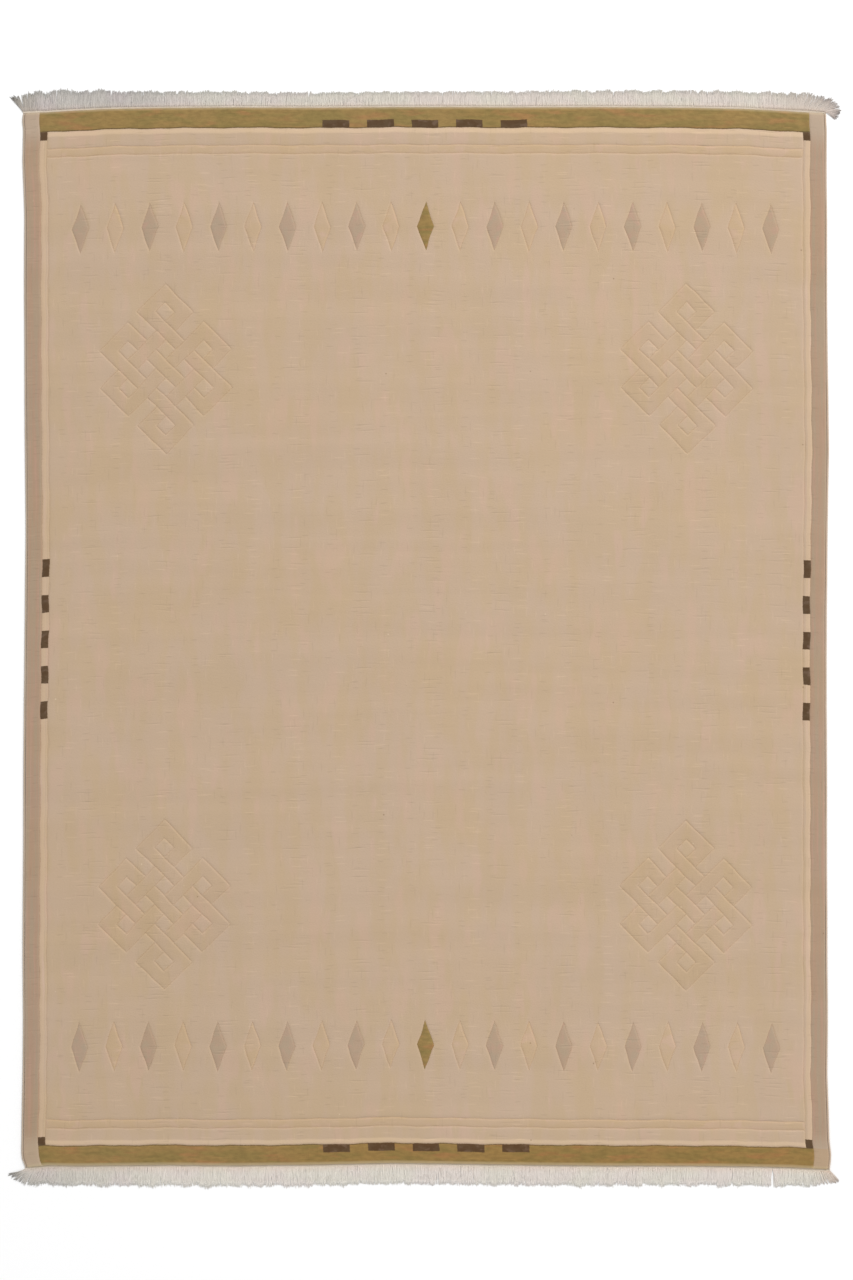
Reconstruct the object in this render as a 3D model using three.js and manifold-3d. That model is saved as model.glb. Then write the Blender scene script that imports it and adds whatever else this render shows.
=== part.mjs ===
// Hand-knotted wool rug, lying flat: carved pile, overcast sides, and a fringe of warp ends at both ends.
// Millimetres. X runs across the rug, +Y to its far end, +Z up from the floor at Z = 0.
// Every place on the rug is first given on the loom, where the rug is a true rectangle, as (across, along)
// from its middle. lay() then moves it to where the finished, slightly uneven rug has it on the floor.

import * as THREE from 'three';
import Module from 'manifold-3d';

const wasm = await Module();
wasm.setup();

// Driving sizes of the rug
const OVERALL_WIDTH = 2700; // over both overcast sides
const PILE_LENGTH = 3550; // from fringe to fringe
const PILE_HEIGHT = 12; // knotted ground and cut pile together
const SEAT_GAP = 0.3; // between pieces that touch

// Shoulder of the pile at its rim, sheared round
const RIM_HEIGHT = 6; // upright part of the rim
const SHOULDER_INSET = 10; // how far in the pile has its full height
const SHOULDER_STEPS = 3;
const CORNER_RADIUS = 8;
const CORNER_STEPS = 3;

// Overcast cord along each side
const SELVEDGE_THICKNESS = 7;
const SELVEDGE_SIDES = 8;

// Fringe: a narrow woven strip with the warp ends standing out of it in locks
const STRIP_DEPTH = 9;
const STRIP_HEIGHT = 3.4;
const LOCKS_PER_END = 120;
const LOCK_ROOT_SHARE = 0.74; // of the pitch from lock to lock
const LOCK_SWELL_SHARE = 0.7;
const LOCK_TIP_SHARE = 0.34;
const LOCK_SWELL_HEIGHT = 4.2;
const LOCK_TIP_HEIGHT = 2.2;
const LOCK_LENGTH_SPREAD = 0.07; // share by which a lock is longer or shorter than its neighbours
const LOCK_LEAN_SPREAD = 3; // degrees

// Layout of the carved lines, from the outer edge inwards
const SIDE_BAND = 57; // from the rug's edge to the guard stripe
const GUARD_STRIPE = 24;
const END_BAND = 68;
const END_STRIPE_INSET = 58; // from the end band to the sand stripe
const END_STRIPE = 28;
const CARVE_DEPTH = 3;
const CARVE_HALF_WIDTH = 6;
const CARVE_STOP_SHORT = 1.5; // a line that meets another ends this far before its keel
const CUTTER_PROUD = 1; // the carving tool starts this far above the pile

// Row of lozenges near each end
const LOZENGE_ROW_INSET = 400; // from the rug's end to the row's middle
const LOZENGES_PER_ROW = 21;
const LOZENGE_PITCH = 116;
const LOZENGE_WIDTH = 56;
const LOZENGE_HEIGHT = 162;

// Endless knot of one interlaced ribbon, near each corner of the field, standing on a corner
const KNOT_PITCH = 90; // between its three strands each way
const KNOT_RIBBON = 44;
const KNOT_ACROSS = 875; // from the rug's middle to a knot's middle
const KNOT_ALONG = 900;
const KNOT_TURN = Math.PI / 4;

// How far each side line lies outside a straight one: along runs from the near end, 0, to the far end, 1
const SIDE_LINES = [
  { along: 0, left: -7, right: 7 },
  { along: 0.007, left: 5, right: 11 },
  { along: 0.014, left: 8, right: 12 },
  { along: 0.027, left: 7, right: 6 },
  { along: 0.045, left: 6, right: 4 },
  { along: 0.09, left: 3, right: -1 },
  { along: 0.14, left: 2, right: 1 },
  { along: 0.2, left: 3, right: -1 },
  { along: 0.32, left: 1, right: -2 },
  { along: 0.44, left: -1, right: -3 },
  { along: 0.53, left: -5, right: -3 },
  { along: 0.6, left: -7, right: 0 },
  { along: 0.68, left: -5, right: 4 },
  { along: 0.76, left: -3, right: 1 },
  { along: 0.83, left: -2, right: -2 },
  { along: 0.905, left: -3, right: -2 },
  { along: 0.955, left: 4, right: -3 },
  { along: 0.985, left: 1, right: -3 },
  { along: 0.993, left: 5, right: -5 },
  { along: 1, left: 1, right: -6 },
];

// The same for the two end lines: across runs from the left side, 0, to the right side, 1
const END_LINES = [
  { across: 0, far: -18, near: 7 },
  { across: 0.03, far: -15, near: -1 },
  { across: 0.06, far: -10, near: 1 },
  { across: 0.11, far: -4, near: 0 },
  { across: 0.17, far: -1, near: -2 },
  { across: 0.26, far: 1, near: 0 },
  { across: 0.36, far: 0, near: -3 },
  { across: 0.46, far: 2, near: -9 },
  { across: 0.53, far: 2, near: -6 },
  { across: 0.61, far: 1, near: -3 },
  { across: 0.71, far: 2, near: 0 },
  { across: 0.83, far: 0, near: 1 },
  { across: 0.9, far: -4, near: 3 },
  { across: 0.95, far: -11, near: 6 },
  { across: 1, far: -19, near: 13 },
];

// Length of the locks beyond their strip
const LOCK_LENGTHS = [
  { across: 0, far: 64, near: 57 },
  { across: 0.05, far: 58, near: 57 },
  { across: 0.15, far: 49, near: 61 },
  { across: 0.35, far: 44, near: 62 },
  { across: 0.5, far: 47, near: 60 },
  { across: 0.72, far: 51, near: 59 },
  { across: 0.92, far: 53, near: 57 },
  { across: 1, far: 54, near: 49 },
];

// Degrees by which the last three locks at each corner fan outwards, and the curl of the last one
const CORNER_FANS = [
  { end: 'far', side: 'left', third: 3, second: 12, last: 41, curl: 4 },
  { end: 'far', side: 'right', third: 14, second: 42, last: 84, curl: 50 },
  { end: 'near', side: 'left', third: 12, second: 34, last: 68, curl: 8 },
  { end: 'near', side: 'right', third: 5, second: 18, last: 46, curl: -4 },
];

// Values worked out from the driving sizes
const HALF_WIDTH = OVERALL_WIDTH / 2;
const HALF_LENGTH = PILE_LENGTH / 2;
const PILE_HALF_WIDTH = HALF_WIDTH - SELVEDGE_THICKNESS - SEAT_GAP;
const LOCK_PITCH = OVERALL_WIDTH / LOCKS_PER_END;
const SIGN = { left: -1, right: 1, near: -1, far: 1 };

/** Value of one column of a table at a place between its rows. */
function between(table, key, column, place) {
  const next = table.findIndex((row) => row[key] >= place);
  if (next === 0) return table[0][column];
  if (next === -1) return table[table.length - 1][column];
  const [before, after] = [table[next - 1], table[next]];
  const share = (place - before[key]) / (after[key] - before[key]);
  return THREE.MathUtils.lerp(before[column], after[column], share);
}

/** Where a place on the loom lies on the floor. */
function lay(u, v) {
  const across = THREE.MathUtils.clamp(u / OVERALL_WIDTH + 0.5, 0, 1);
  const along = THREE.MathUtils.clamp(v / PILE_LENGTH + 0.5, 0, 1);
  const left = between(SIDE_LINES, 'along', 'left', along);
  const right = between(SIDE_LINES, 'along', 'right', along);
  const near = between(END_LINES, 'across', 'near', across);
  const far = between(END_LINES, 'across', 'far', across);
  return new THREE.Vector2(
    u + THREE.MathUtils.lerp(-left, right, across),
    v + THREE.MathUtils.lerp(-near, far, along),
  );
}

/** The places of a table's rows as distances from the middle, the outermost drawn in to the limits. */
function stations(table, key, size, limit = size / 2) {
  const inner = table.map((row) => (row[key] - 0.5) * size).filter((place) => Math.abs(place) < limit - 1);
  return [-limit, ...inner, limit];
}

/** Indexed mesh geometry from a flat list of coordinates and a flat list of corners. */
function geometryOf(positions, index) {
  const geometry = new THREE.BufferGeometry();
  geometry.setAttribute('position', new THREE.Float32BufferAttribute(positions, 3));
  geometry.setIndex(index);
  return geometry;
}

/** Closed solid through a stack of rings, each a list of points with the same count, lowest first. */
function loft(rings) {
  const count = rings[0].length;
  const positions = rings.flat().flatMap((p) => [p.x, p.y, p.z]);
  const index = [];
  for (let ring = 0; ring + 1 < rings.length; ring += 1) {
    for (let i = 0; i < count; i += 1) {
      const [a, b] = [ring * count + i, ring * count + ((i + 1) % count)];
      index.push(a, b, b + count, a, b + count, a + count);
    }
  }
  const flat = (ring) => ring.map((p) => new THREE.Vector2(p.x, p.y));
  const top = (rings.length - 1) * count;
  THREE.ShapeUtils.triangulateShape(flat(rings[0]), []).forEach(([a, b, c]) => index.push(a, c, b));
  THREE.ShapeUtils.triangulateShape(flat(rings.at(-1)), []).forEach(([a, b, c]) => {
    index.push(top + a, top + b, top + c);
  });
  return geometryOf(positions, index);
}

/** Solid of manifold-3d from an indexed geometry. */
function solidOf(geometry) {
  return new wasm.Manifold(new wasm.Mesh({
    numProp: 3,
    vertProperties: new Float32Array(geometry.attributes.position.array),
    triVerts: new Uint32Array(geometry.index.array),
  }));
}

/** Mesh geometry back from a solid of manifold-3d. */
function geometryFrom(solid) {
  const mesh = solid.getMesh();
  return geometryOf(Array.from(mesh.vertProperties), Array.from(mesh.triVerts));
}

/** One ring of the pile's rim: a rectangle on the loom, drawn in by inset, with round corners. */
function rimRing(inset, height) {
  const [a, b] = [PILE_HALF_WIDTH - inset, HALF_LENGTH - inset];
  const radius = CORNER_RADIUS;
  const acrossStops = stations(END_LINES, 'across', OVERALL_WIDTH, a - radius);
  const alongStops = stations(SIDE_LINES, 'along', PILE_LENGTH, b - radius);
  const corner = (cx, cy, start) => Array.from({ length: CORNER_STEPS }, (_, k) => {
    const angle = start + ((k + 1) / (CORNER_STEPS + 1)) * (Math.PI / 2);
    return [cx + radius * Math.cos(angle), cy + radius * Math.sin(angle)];
  });
  const places = [
    ...acrossStops.map((u) => [u, -b]),
    ...corner(a - radius, -b + radius, -Math.PI / 2),
    ...alongStops.map((v) => [a, v]),
    ...corner(a - radius, b - radius, 0),
    ...acrossStops.toReversed().map((u) => [u, b]),
    ...corner(-a + radius, b - radius, Math.PI / 2),
    ...alongStops.toReversed().map((v) => [-a, v]),
    ...corner(-a + radius, -b + radius, Math.PI),
  ];
  return places.map(([u, v]) => {
    const p = lay(u, v);
    return new THREE.Vector3(p.x, p.y, height);
  });
}

/** Uncarved pile: upright rim, then a quarter ellipse up to the flat top. */
function plainPile() {
  const rings = [rimRing(0, 0)];
  for (let step = 0; step <= SHOULDER_STEPS; step += 1) {
    const angle = (step / SHOULDER_STEPS) * (Math.PI / 2);
    const inset = SHOULDER_INSET * (1 - Math.cos(angle));
    rings.push(rimRing(inset, RIM_HEIGHT + (PILE_HEIGHT - RIM_HEIGHT) * Math.sin(angle)));
  }
  return loft(rings);
}

/**
 * Cutter for one carved line through plan points: a V along the line, mitred where the line turns.
 * An open line's ends slope up like a boat's. A closed line's last point joins its first.
 */
function groove({ points, closed = false }) {
  const reach = (CARVE_HALF_WIDTH * (CARVE_DEPTH + CUTTER_PROUD)) / CARVE_DEPTH;
  const top = PILE_HEIGHT + CUTTER_PROUD;
  const count = points.length;
  const at = (i) => points[(i + count) % count];
  const positions = [];
  points.forEach((p, i) => {
    const isFirst = i === 0 && !closed;
    const isLast = i === count - 1 && !closed;
    const came = isFirst ? at(1).clone().sub(p).normalize() : p.clone().sub(at(i - 1)).normalize();
    const goes = isLast ? came : at(i + 1).clone().sub(p).normalize();
    const mitre = new THREE.Vector2(-came.y - goes.y, came.x + goes.x);
    mitre.multiplyScalar(reach / (1 + came.dot(goes)));
    const end = p.clone().addScaledVector(came, isFirst ? -reach : isLast ? reach : 0);
    positions.push(end.x + mitre.x, end.y + mitre.y, top);
    positions.push(end.x - mitre.x, end.y - mitre.y, top);
    positions.push(p.x, p.y, PILE_HEIGHT - CARVE_DEPTH);
  });
  const last = 3 * (count - 1);
  const index = closed ? [] : [0, 2, 1, last, last + 1, last + 2];
  for (let i = 0; i < (closed ? count : count - 1); i += 1) {
    const [left, right, keel] = [3 * i, 3 * i + 1, 3 * i + 2];
    const [nextLeft, nextRight, nextKeel] = [left, right, keel].map((k) => (k + 3) % (3 * count));
    index.push(left, right, nextRight, left, nextRight, nextLeft);
    index.push(right, keel, nextKeel, right, nextKeel, nextRight);
    index.push(keel, left, nextLeft, keel, nextLeft, nextKeel);
  }
  return solidOf(geometryOf(positions, index));
}

/** Straight carved lines that part the bands: along both sides, and across both ends. */
function bandLines() {
  const sideLine = HALF_WIDTH - SIDE_BAND;
  const guardLine = sideLine - GUARD_STRIPE;
  const endLine = HALF_LENGTH - END_BAND;
  const stripeLine = endLine - END_STRIPE_INSET;
  const lines = [];
  const addAlong = (u, limit) => {
    lines.push(stations(SIDE_LINES, 'along', PILE_LENGTH, limit).map((v) => lay(u, v)));
  };
  const addAcross = (v, limit) => {
    lines.push(stations(END_LINES, 'across', OVERALL_WIDTH, limit).map((u) => lay(u, v)));
  };
  for (const sign of [-1, 1]) {
    addAlong(sign * sideLine, HALF_LENGTH);
    addAlong(sign * guardLine, endLine - CARVE_STOP_SHORT);
    addAcross(sign * endLine, sideLine - CARVE_STOP_SHORT);
    addAcross(sign * stripeLine, guardLine - CARVE_STOP_SHORT);
    addAcross(sign * (stripeLine - END_STRIPE), guardLine - CARVE_STOP_SHORT);
  }
  return lines.map((points) => ({ points }));
}

/** Outlines of the lozenges in the two rows. */
function lozengeLines() {
  const lines = [];
  for (const sign of [-1, 1]) {
    const v = sign * (HALF_LENGTH - LOZENGE_ROW_INSET);
    for (let i = 0; i < LOZENGES_PER_ROW; i += 1) {
      const u = (i - (LOZENGES_PER_ROW - 1) / 2) * LOZENGE_PITCH;
      const [w, h] = [LOZENGE_WIDTH / 2, LOZENGE_HEIGHT / 2];
      lines.push({ points: [lay(u + w, v), lay(u, v + h), lay(u - w, v), lay(u, v - h)], closed: true });
    }
  }
  return lines;
}

/** Middle line of the knot's ribbon, closed: up and down its strands, then across them, with square turns. */
function knotTrack() {
  const p = KNOT_PITCH;
  const e = 2 * p;
  return [
    [-p, -e], [-p, e], [0, e], [0, -e], [p, -e], [p, e],
    [e, e], [e, p], [-e, p], [-e, 0], [e, 0], [e, -p], [-e, -p], [-e, -e],
  ].map(([x, y]) => new THREE.Vector2(x, y));
}

/** Where one edge of the ribbon passes under other strands on its way from a to b: pairs of points. */
function hiddenStretches(a, b) {
  const half = KNOT_RIBBON / 2 + CARVE_STOP_SHORT;
  const middles = [-KNOT_PITCH, 0, KNOT_PITCH];
  const run = b.clone().sub(a);
  const isUpright = Math.abs(run.y) > Math.abs(run.x);
  const fixed = isUpright ? a.x : a.y;
  const way = Math.sign(isUpright ? run.y : run.x);
  const own = middles.findIndex((middle) => Math.abs(middle - fixed) < half);
  if (own === -1) return [];
  const under = middles.filter((_, k) => ((own + k) % 2 === 0) !== isUpright);
  const place = (along) => (isUpright ? new THREE.Vector2(fixed, along) : new THREE.Vector2(along, fixed));
  return under
    .sort((m, n) => way * (m - n))
    .map((middle) => [place(middle - way * half), place(middle + way * half)]);
}

/** Both edges of the knot's ribbon about the knot's own middle, broken where the ribbon passes under. */
function knotEdges() {
  const track = knotTrack();
  const at = (k) => track[(k + track.length) % track.length];
  const heading = (k) => at(k + 1).clone().sub(at(k)).normalize();
  const edges = [];
  for (const half of [-KNOT_RIBBON / 2, KNOT_RIBBON / 2]) {
    const corner = (k) => {
      const turn = heading(k - 1).add(heading(k));
      return at(k).clone().add(new THREE.Vector2(-turn.y, turn.x).multiplyScalar(half));
    };
    const lines = [[corner(0)]];
    track.forEach((_, k) => {
      for (const [start, stop] of hiddenStretches(corner(k), corner(k + 1))) {
        lines.at(-1).push(start);
        lines.push([stop]);
      }
      lines.at(-1).push(corner(k + 1));
    });
    const opening = lines.shift();
    lines.at(-1).push(...opening.slice(1));
    edges.push(...lines);
  }
  return edges;
}

/** Carved lines of the four knots. */
function knotLines() {
  const origin = new THREE.Vector2();
  const lines = [];
  for (const u of [-KNOT_ACROSS, KNOT_ACROSS]) {
    for (const v of [-KNOT_ALONG, KNOT_ALONG]) {
      for (const edge of knotEdges()) {
        const turned = edge.map((p) => p.clone().rotateAround(origin, KNOT_TURN));
        lines.push({ points: turned.map((p) => lay(u + p.x, v + p.y)) });
      }
    }
  }
  return lines;
}

/** The knotted cloth with its carved pile. */
function pileGeometry() {
  const cutters = [...bandLines(), ...lozengeLines(), ...knotLines()].map(groove);
  return geometryFrom(solidOf(plainPile()).subtract(wasm.Manifold.union(cutters)));
}

/** Overcast cord along one side, lying on the floor against the pile's rim. */
function selvedgeGeometry(side) {
  const radius = SELVEDGE_THICKNESS / 2;
  const step = (2 * Math.PI) / SELVEDGE_SIDES;
  const across = SIGN[side] * (HALF_WIDTH - radius);
  const rings = stations(SIDE_LINES, 'along', PILE_LENGTH).map((v) => {
    const middle = lay(across, v);
    return Array.from({ length: SELVEDGE_SIDES }, (_, k) => {
      const angle = (k + 0.5) * step;
      const up = radius * (Math.cos(step / 2) + Math.sin(angle));
      return new THREE.Vector3(middle.x + radius * Math.cos(angle), middle.y, up);
    });
  });
  return tube(rings);
}

/** Closed tube through upright rings that follow each other along +Y. */
function tube(rings) {
  const count = rings[0].length;
  const positions = rings.flat().flatMap((p) => [p.x, p.y, p.z]);
  const index = [];
  const last = (rings.length - 1) * count;
  for (let i = 1; i + 1 < count; i += 1) {
    index.push(0, i, i + 1, last, last + i + 1, last + i);
  }
  for (let ring = 0; ring + 1 < rings.length; ring += 1) {
    for (let i = 0; i < count; i += 1) {
      const [a, b] = [ring * count + i, ring * count + ((i + 1) % count)];
      index.push(a, b + count, b, a, a + count, b + count);
    }
  }
  return geometryOf(positions, index);
}

/** Number from -1 to 1 that looks random but is always the same for the same lock. */
function scatter(lock, stream) {
  const wave = Math.sin(lock * 12.9898 + stream * 78.233) * 43758.5453;
  return 2 * (wave - Math.floor(wave)) - 1;
}

/** Degrees by which a lock leans away from straight out, and how much more its tip does. */
function lockLean(end, lock) {
  const side = lock < LOCKS_PER_END / 2 ? 'left' : 'right';
  const fromCorner = side === 'left' ? lock : LOCKS_PER_END - 1 - lock;
  const fan = CORNER_FANS.find((row) => row.end === end && row.side === side);
  const own = [fan.last, fan.second, fan.third][fromCorner];
  if (own === undefined) return { lean: LOCK_LEAN_SPREAD * scatter(lock, SIGN[end]), curl: 0 };
  return { lean: SIGN[side] * own, curl: fromCorner === 0 ? SIGN[side] * fan.curl : 0 };
}

/** Plan outline of one lock, from its right foot round its tip to its left foot, with the height at each point. */
function lockOutline(end, lock) {
  const out = SIGN[end];
  const u = (lock + 0.5) * LOCK_PITCH - HALF_WIDTH;
  const foot = lay(u, out * HALF_LENGTH).add(new THREE.Vector2(0, out * (SEAT_GAP + STRIP_DEPTH)));
  const { lean, curl } = lockLean(end, lock);
  const usual = between(LOCK_LENGTHS, 'across', end, u / OVERALL_WIDTH + 0.5);
  const half = (usual * (1 + LOCK_LENGTH_SPREAD * scatter(lock, 3 * out))) / 2;
  const ahead = (degrees) => {
    const angle = THREE.MathUtils.degToRad(degrees);
    return new THREE.Vector2(Math.sin(angle), out * Math.cos(angle));
  };
  const [first, second] = [ahead(lean), ahead(lean + curl)];
  const swell = foot.clone().addScaledVector(first, half);
  const tip = swell.clone().addScaledVector(second, half);
  const points = [];
  const pair = (centre, heading, share, top) => {
    const reach = (share * LOCK_PITCH) / 2;
    const sideways = new THREE.Vector2(heading.y * out, -heading.x * out).multiplyScalar(reach);
    points.push({ right: centre.clone().add(sideways), left: centre.clone().sub(sideways), top });
  };
  pair(foot, ahead(0), LOCK_ROOT_SHARE, STRIP_HEIGHT);
  pair(swell, ahead(lean + curl / 2), LOCK_SWELL_SHARE, LOCK_SWELL_HEIGHT);
  pair(tip, second, LOCK_TIP_SHARE, LOCK_TIP_HEIGHT);
  return [
    ...points.map(({ right, top }) => new THREE.Vector3(right.x, right.y, top)),
    ...points.reverse().map(({ left, top }) => new THREE.Vector3(left.x, left.y, top)),
  ];
}

/** Woven strip and locks of one end, all lying level on the floor. */
function fringeGeometry(end) {
  const out = SIGN[end];
  const edge = (u, depth) => {
    const p = lay(u, out * HALF_LENGTH);
    return new THREE.Vector3(p.x, p.y + out * depth, STRIP_HEIGHT);
  };
  const stops = stations(END_LINES, 'across', OVERALL_WIDTH);
  const outline = stops.map((u) => edge(u, SEAT_GAP));
  outline.push(edge(HALF_WIDTH, SEAT_GAP + STRIP_DEPTH));
  for (let lock = LOCKS_PER_END - 1; lock >= 0; lock -= 1) {
    outline.push(...lockOutline(end, lock));
  }
  outline.push(edge(-HALF_WIDTH, SEAT_GAP + STRIP_DEPTH));
  if (out < 0) outline.reverse();
  return loft([outline.map((p) => new THREE.Vector3(p.x, p.y, 0)), outline]);
}

/** Matt textile finish of one colour. */
function textile(color, roughness) {
  return new THREE.MeshStandardMaterial({ color, roughness, metalness: 0 });
}

/** Named mesh of one piece. */
function piece(name, geometry, material) {
  geometry.computeVertexNormals();
  const mesh = new THREE.Mesh(geometry, material);
  mesh.name = name;
  return mesh;
}

const rug = new THREE.Group();
rug.add(piece('rug_pile', pileGeometry(), textile(0xc3aa8d, 0.95)));
rug.add(piece('selvedge_left', selvedgeGeometry('left'), textile(0xab9986, 0.95)));
rug.add(piece('selvedge_right', selvedgeGeometry('right'), textile(0xb3a18e, 0.95)));
rug.add(piece('fringe_far', fringeGeometry('far'), textile(0xd0c9bf, 0.9)));
rug.add(piece('fringe_near', fringeGeometry('near'), textile(0xd2cbc2, 0.9)));

// The middle of the whole rug's outline, fringes included, goes to the origin
const middle = new THREE.Box3().setFromObject(rug).getCenter(new THREE.Vector3());
rug.position.set(-middle.x, -middle.y, 0);

export default rug;
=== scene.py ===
"""Hand-knotted wool rug lying flat: carved pile, overcast sides, woven headings and cotton warp fringes.

Metres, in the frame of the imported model: X across the rug, +Y to its far end, Z up from the floor. Every
place on the rug is first given on the loom, where the rug is a true rectangle, as (across, along) from its
middle. Loom.lay then moves it to where the finished, slightly uneven rug has it on the floor.
"""

from __future__ import annotations

import logging
import math
from dataclasses import dataclass
from enum import Enum
from functools import cached_property
from typing import Any, NamedTuple

import bpy
import numpy as np
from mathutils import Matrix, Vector
from mathutils.geometry import delaunay_2d_cdt

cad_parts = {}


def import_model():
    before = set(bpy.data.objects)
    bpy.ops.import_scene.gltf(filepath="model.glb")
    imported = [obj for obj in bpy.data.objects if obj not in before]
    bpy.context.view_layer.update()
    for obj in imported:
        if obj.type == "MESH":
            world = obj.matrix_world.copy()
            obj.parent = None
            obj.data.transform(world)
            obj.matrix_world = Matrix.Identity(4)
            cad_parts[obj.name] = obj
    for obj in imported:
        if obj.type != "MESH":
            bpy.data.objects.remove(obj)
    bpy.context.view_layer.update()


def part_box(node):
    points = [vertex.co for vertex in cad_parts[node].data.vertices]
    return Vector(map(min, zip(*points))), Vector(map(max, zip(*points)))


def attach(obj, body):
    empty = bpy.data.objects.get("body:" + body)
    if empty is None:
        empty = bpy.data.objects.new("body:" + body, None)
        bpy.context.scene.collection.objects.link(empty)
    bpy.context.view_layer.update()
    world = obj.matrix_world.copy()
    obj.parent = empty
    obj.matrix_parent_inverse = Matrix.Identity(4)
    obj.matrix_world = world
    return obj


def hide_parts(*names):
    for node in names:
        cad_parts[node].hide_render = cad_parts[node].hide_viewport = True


LOG = logging.getLogger("rug")
Array = np.ndarray
Piece = bpy.types.Object
Random = np.random.Generator
Socket = bpy.types.NodeSocket
Span = tuple[float, float]

MM = 0.001
TURN = 2 * math.pi
ROOT_BODY = "root"
LOOM_MAP = "loom"


class Side(Enum):
    """Sides of the rug, with the sign of X there."""

    LEFT = -1
    RIGHT = 1


class End(Enum):
    """Ends of the rug, with the sign of Y there."""

    NEAR = -1
    FAR = 1


class SideLine(NamedTuple):
    """Millimetres by which the side lines lie outside straight ones; along runs from near to far."""

    along: float
    left: float
    right: float


class EndLine(NamedTuple):
    """Millimetres by which the end lines lie outside straight ones; across runs from left to right."""

    across: float
    far: float
    near: float


class LockLength(NamedTuple):
    """Millimetres by which the fringe stands out of its heading; across runs from left to right."""

    across: float
    far: float
    near: float


class FanStop(NamedTuple):
    """Degrees by which the fringe leans outwards and curls on, at a distance in locks from its corner.

    Drawn says how much nearer to the corner, in locks, it leaves the heading there.
    """

    locks: float
    lean: float
    curl: float = 0.0
    drawn: float = 0.0


class CornerFan(NamedTuple):
    """How the fringe fans out at one corner, and the share by which each tuft of it keeps together."""

    bundled: float
    stops: tuple[FanStop, ...]


class Parting(NamedTuple):
    """Place where the fringe parts: millimetres right of the middle, and degrees it leans away by."""

    end: End
    across: float
    lean: float


class Lie(NamedTuple):
    """How strands lie: degrees of lean and curl, metres of shift, shares kept together and at the edge."""

    lean: Array
    curl: Array
    shift: Array
    bundled: Array
    outer: Array


class Wave(NamedTuple):
    """Bent wave: its radians for each metre, and the strength, radians for each metre and start of its bend.

    Height is its crest.
    """

    rate: float
    bend: float
    bend_rate: float
    start: float = 0.0
    height: float = 1.0

    def along(self, run: Array, aside: Array) -> Array:
        """Height at a place: a sine of the run, pushed to and fro by a sine of the way aside."""
        return self.height * np.sin(run * self.rate + self.bend * np.sin(aside * self.bend_rate + self.start))


SIDE_LINES = tuple(SideLine(*row) for row in (
    (0, -7, 7), (0.007, 5, 11), (0.014, 8, 12), (0.027, 7, 6), (0.045, 6, 4), (0.09, 3, -1), (0.14, 2, 1),
    (0.2, 3, -1), (0.32, 1, -2), (0.44, -1, -3), (0.53, -5, -3), (0.6, -7, 0), (0.68, -5, 4),
    (0.76, -3, 1), (0.83, -2, -2), (0.905, -3, -2), (0.955, 4, -3), (0.985, 1, -3), (0.993, 5, -5),
    (1, 1, -6),
))
END_LINES = tuple(EndLine(*row) for row in (
    (0, -18, 7), (0.03, -15, -1), (0.06, -10, 1), (0.11, -4, 0), (0.17, -1, -2), (0.26, 1, 0),
    (0.36, 0, -3), (0.46, 2, -9), (0.53, 2, -6), (0.61, 1, -3), (0.71, 2, 0), (0.83, 0, 1), (0.9, -4, 3),
    (0.95, -11, 6), (1, -19, 13),
))
LOCK_LENGTHS = tuple(LockLength(*row) for row in (
    (0, 72, 61), (0.004, 60, 61), (0.02, 65, 61), (0.05, 64, 61), (0.15, 52, 64), (0.35, 46, 65),
    (0.5, 48, 64), (0.72, 51, 62), (0.92, 54, 59), (0.965, 60, 56), (0.985, 61, 52), (0.994, 58, 48),
    (0.997, 46, 47), (1, 32, 43),
))
CORNER_FANS = {
    (End.FAR, Side.LEFT): CornerFan(0.3, (
        FanStop(0, 43, -5), FanStop(0.45, 19, 0, 0.3), FanStop(0.47, 4, 0, 0.3), FanStop(1, 2, 0, 0.2),
        FanStop(3, 0),
    )),
    (End.FAR, Side.RIGHT): CornerFan(0.1, (
        FanStop(0, 124, 8), FanStop(0.35, 107, 8, 0.2), FanStop(0.6, 88, 8, 0.35),
        FanStop(0.85, 70, 5, 0.45), FanStop(1.3, 50, 2, 0.5), FanStop(2, 35, 0, 0.4),
        FanStop(4, 15, 0, 0.1), FanStop(8, 0),
    )),
    (End.NEAR, Side.LEFT): CornerFan(0.85, (
        FanStop(0, 78), FanStop(0.5, 62, 0, 0.15), FanStop(1, 46, 0, 0.25), FanStop(2, 29, 0, 0.2),
        FanStop(3.5, 14, 0, 0.1), FanStop(6, 3), FanStop(8, 0),
    )),
    (End.NEAR, Side.RIGHT): CornerFan(0.2, (
        FanStop(0, 41), FanStop(0.4, 34, 0, 0.2), FanStop(1, 25, 0, 0.2), FanStop(2, 16), FanStop(4, 7),
        FanStop(6, 0),
    )),
}
PARTINGS = tuple(Parting(*row) for row in (
    (End.FAR, -1180, 2), (End.FAR, -905, 2.5), (End.FAR, -620, 1.5), (End.FAR, -140, 1.5),
    (End.FAR, 390, 2), (End.FAR, 1015, 1.5), (End.NEAR, -1045, 2.5), (End.NEAR, -730, 2),
    (End.NEAR, -300, 3), (End.NEAR, 240, 2), (End.NEAR, 660, 2.5), (End.NEAR, 1157, 15),
))


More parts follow.
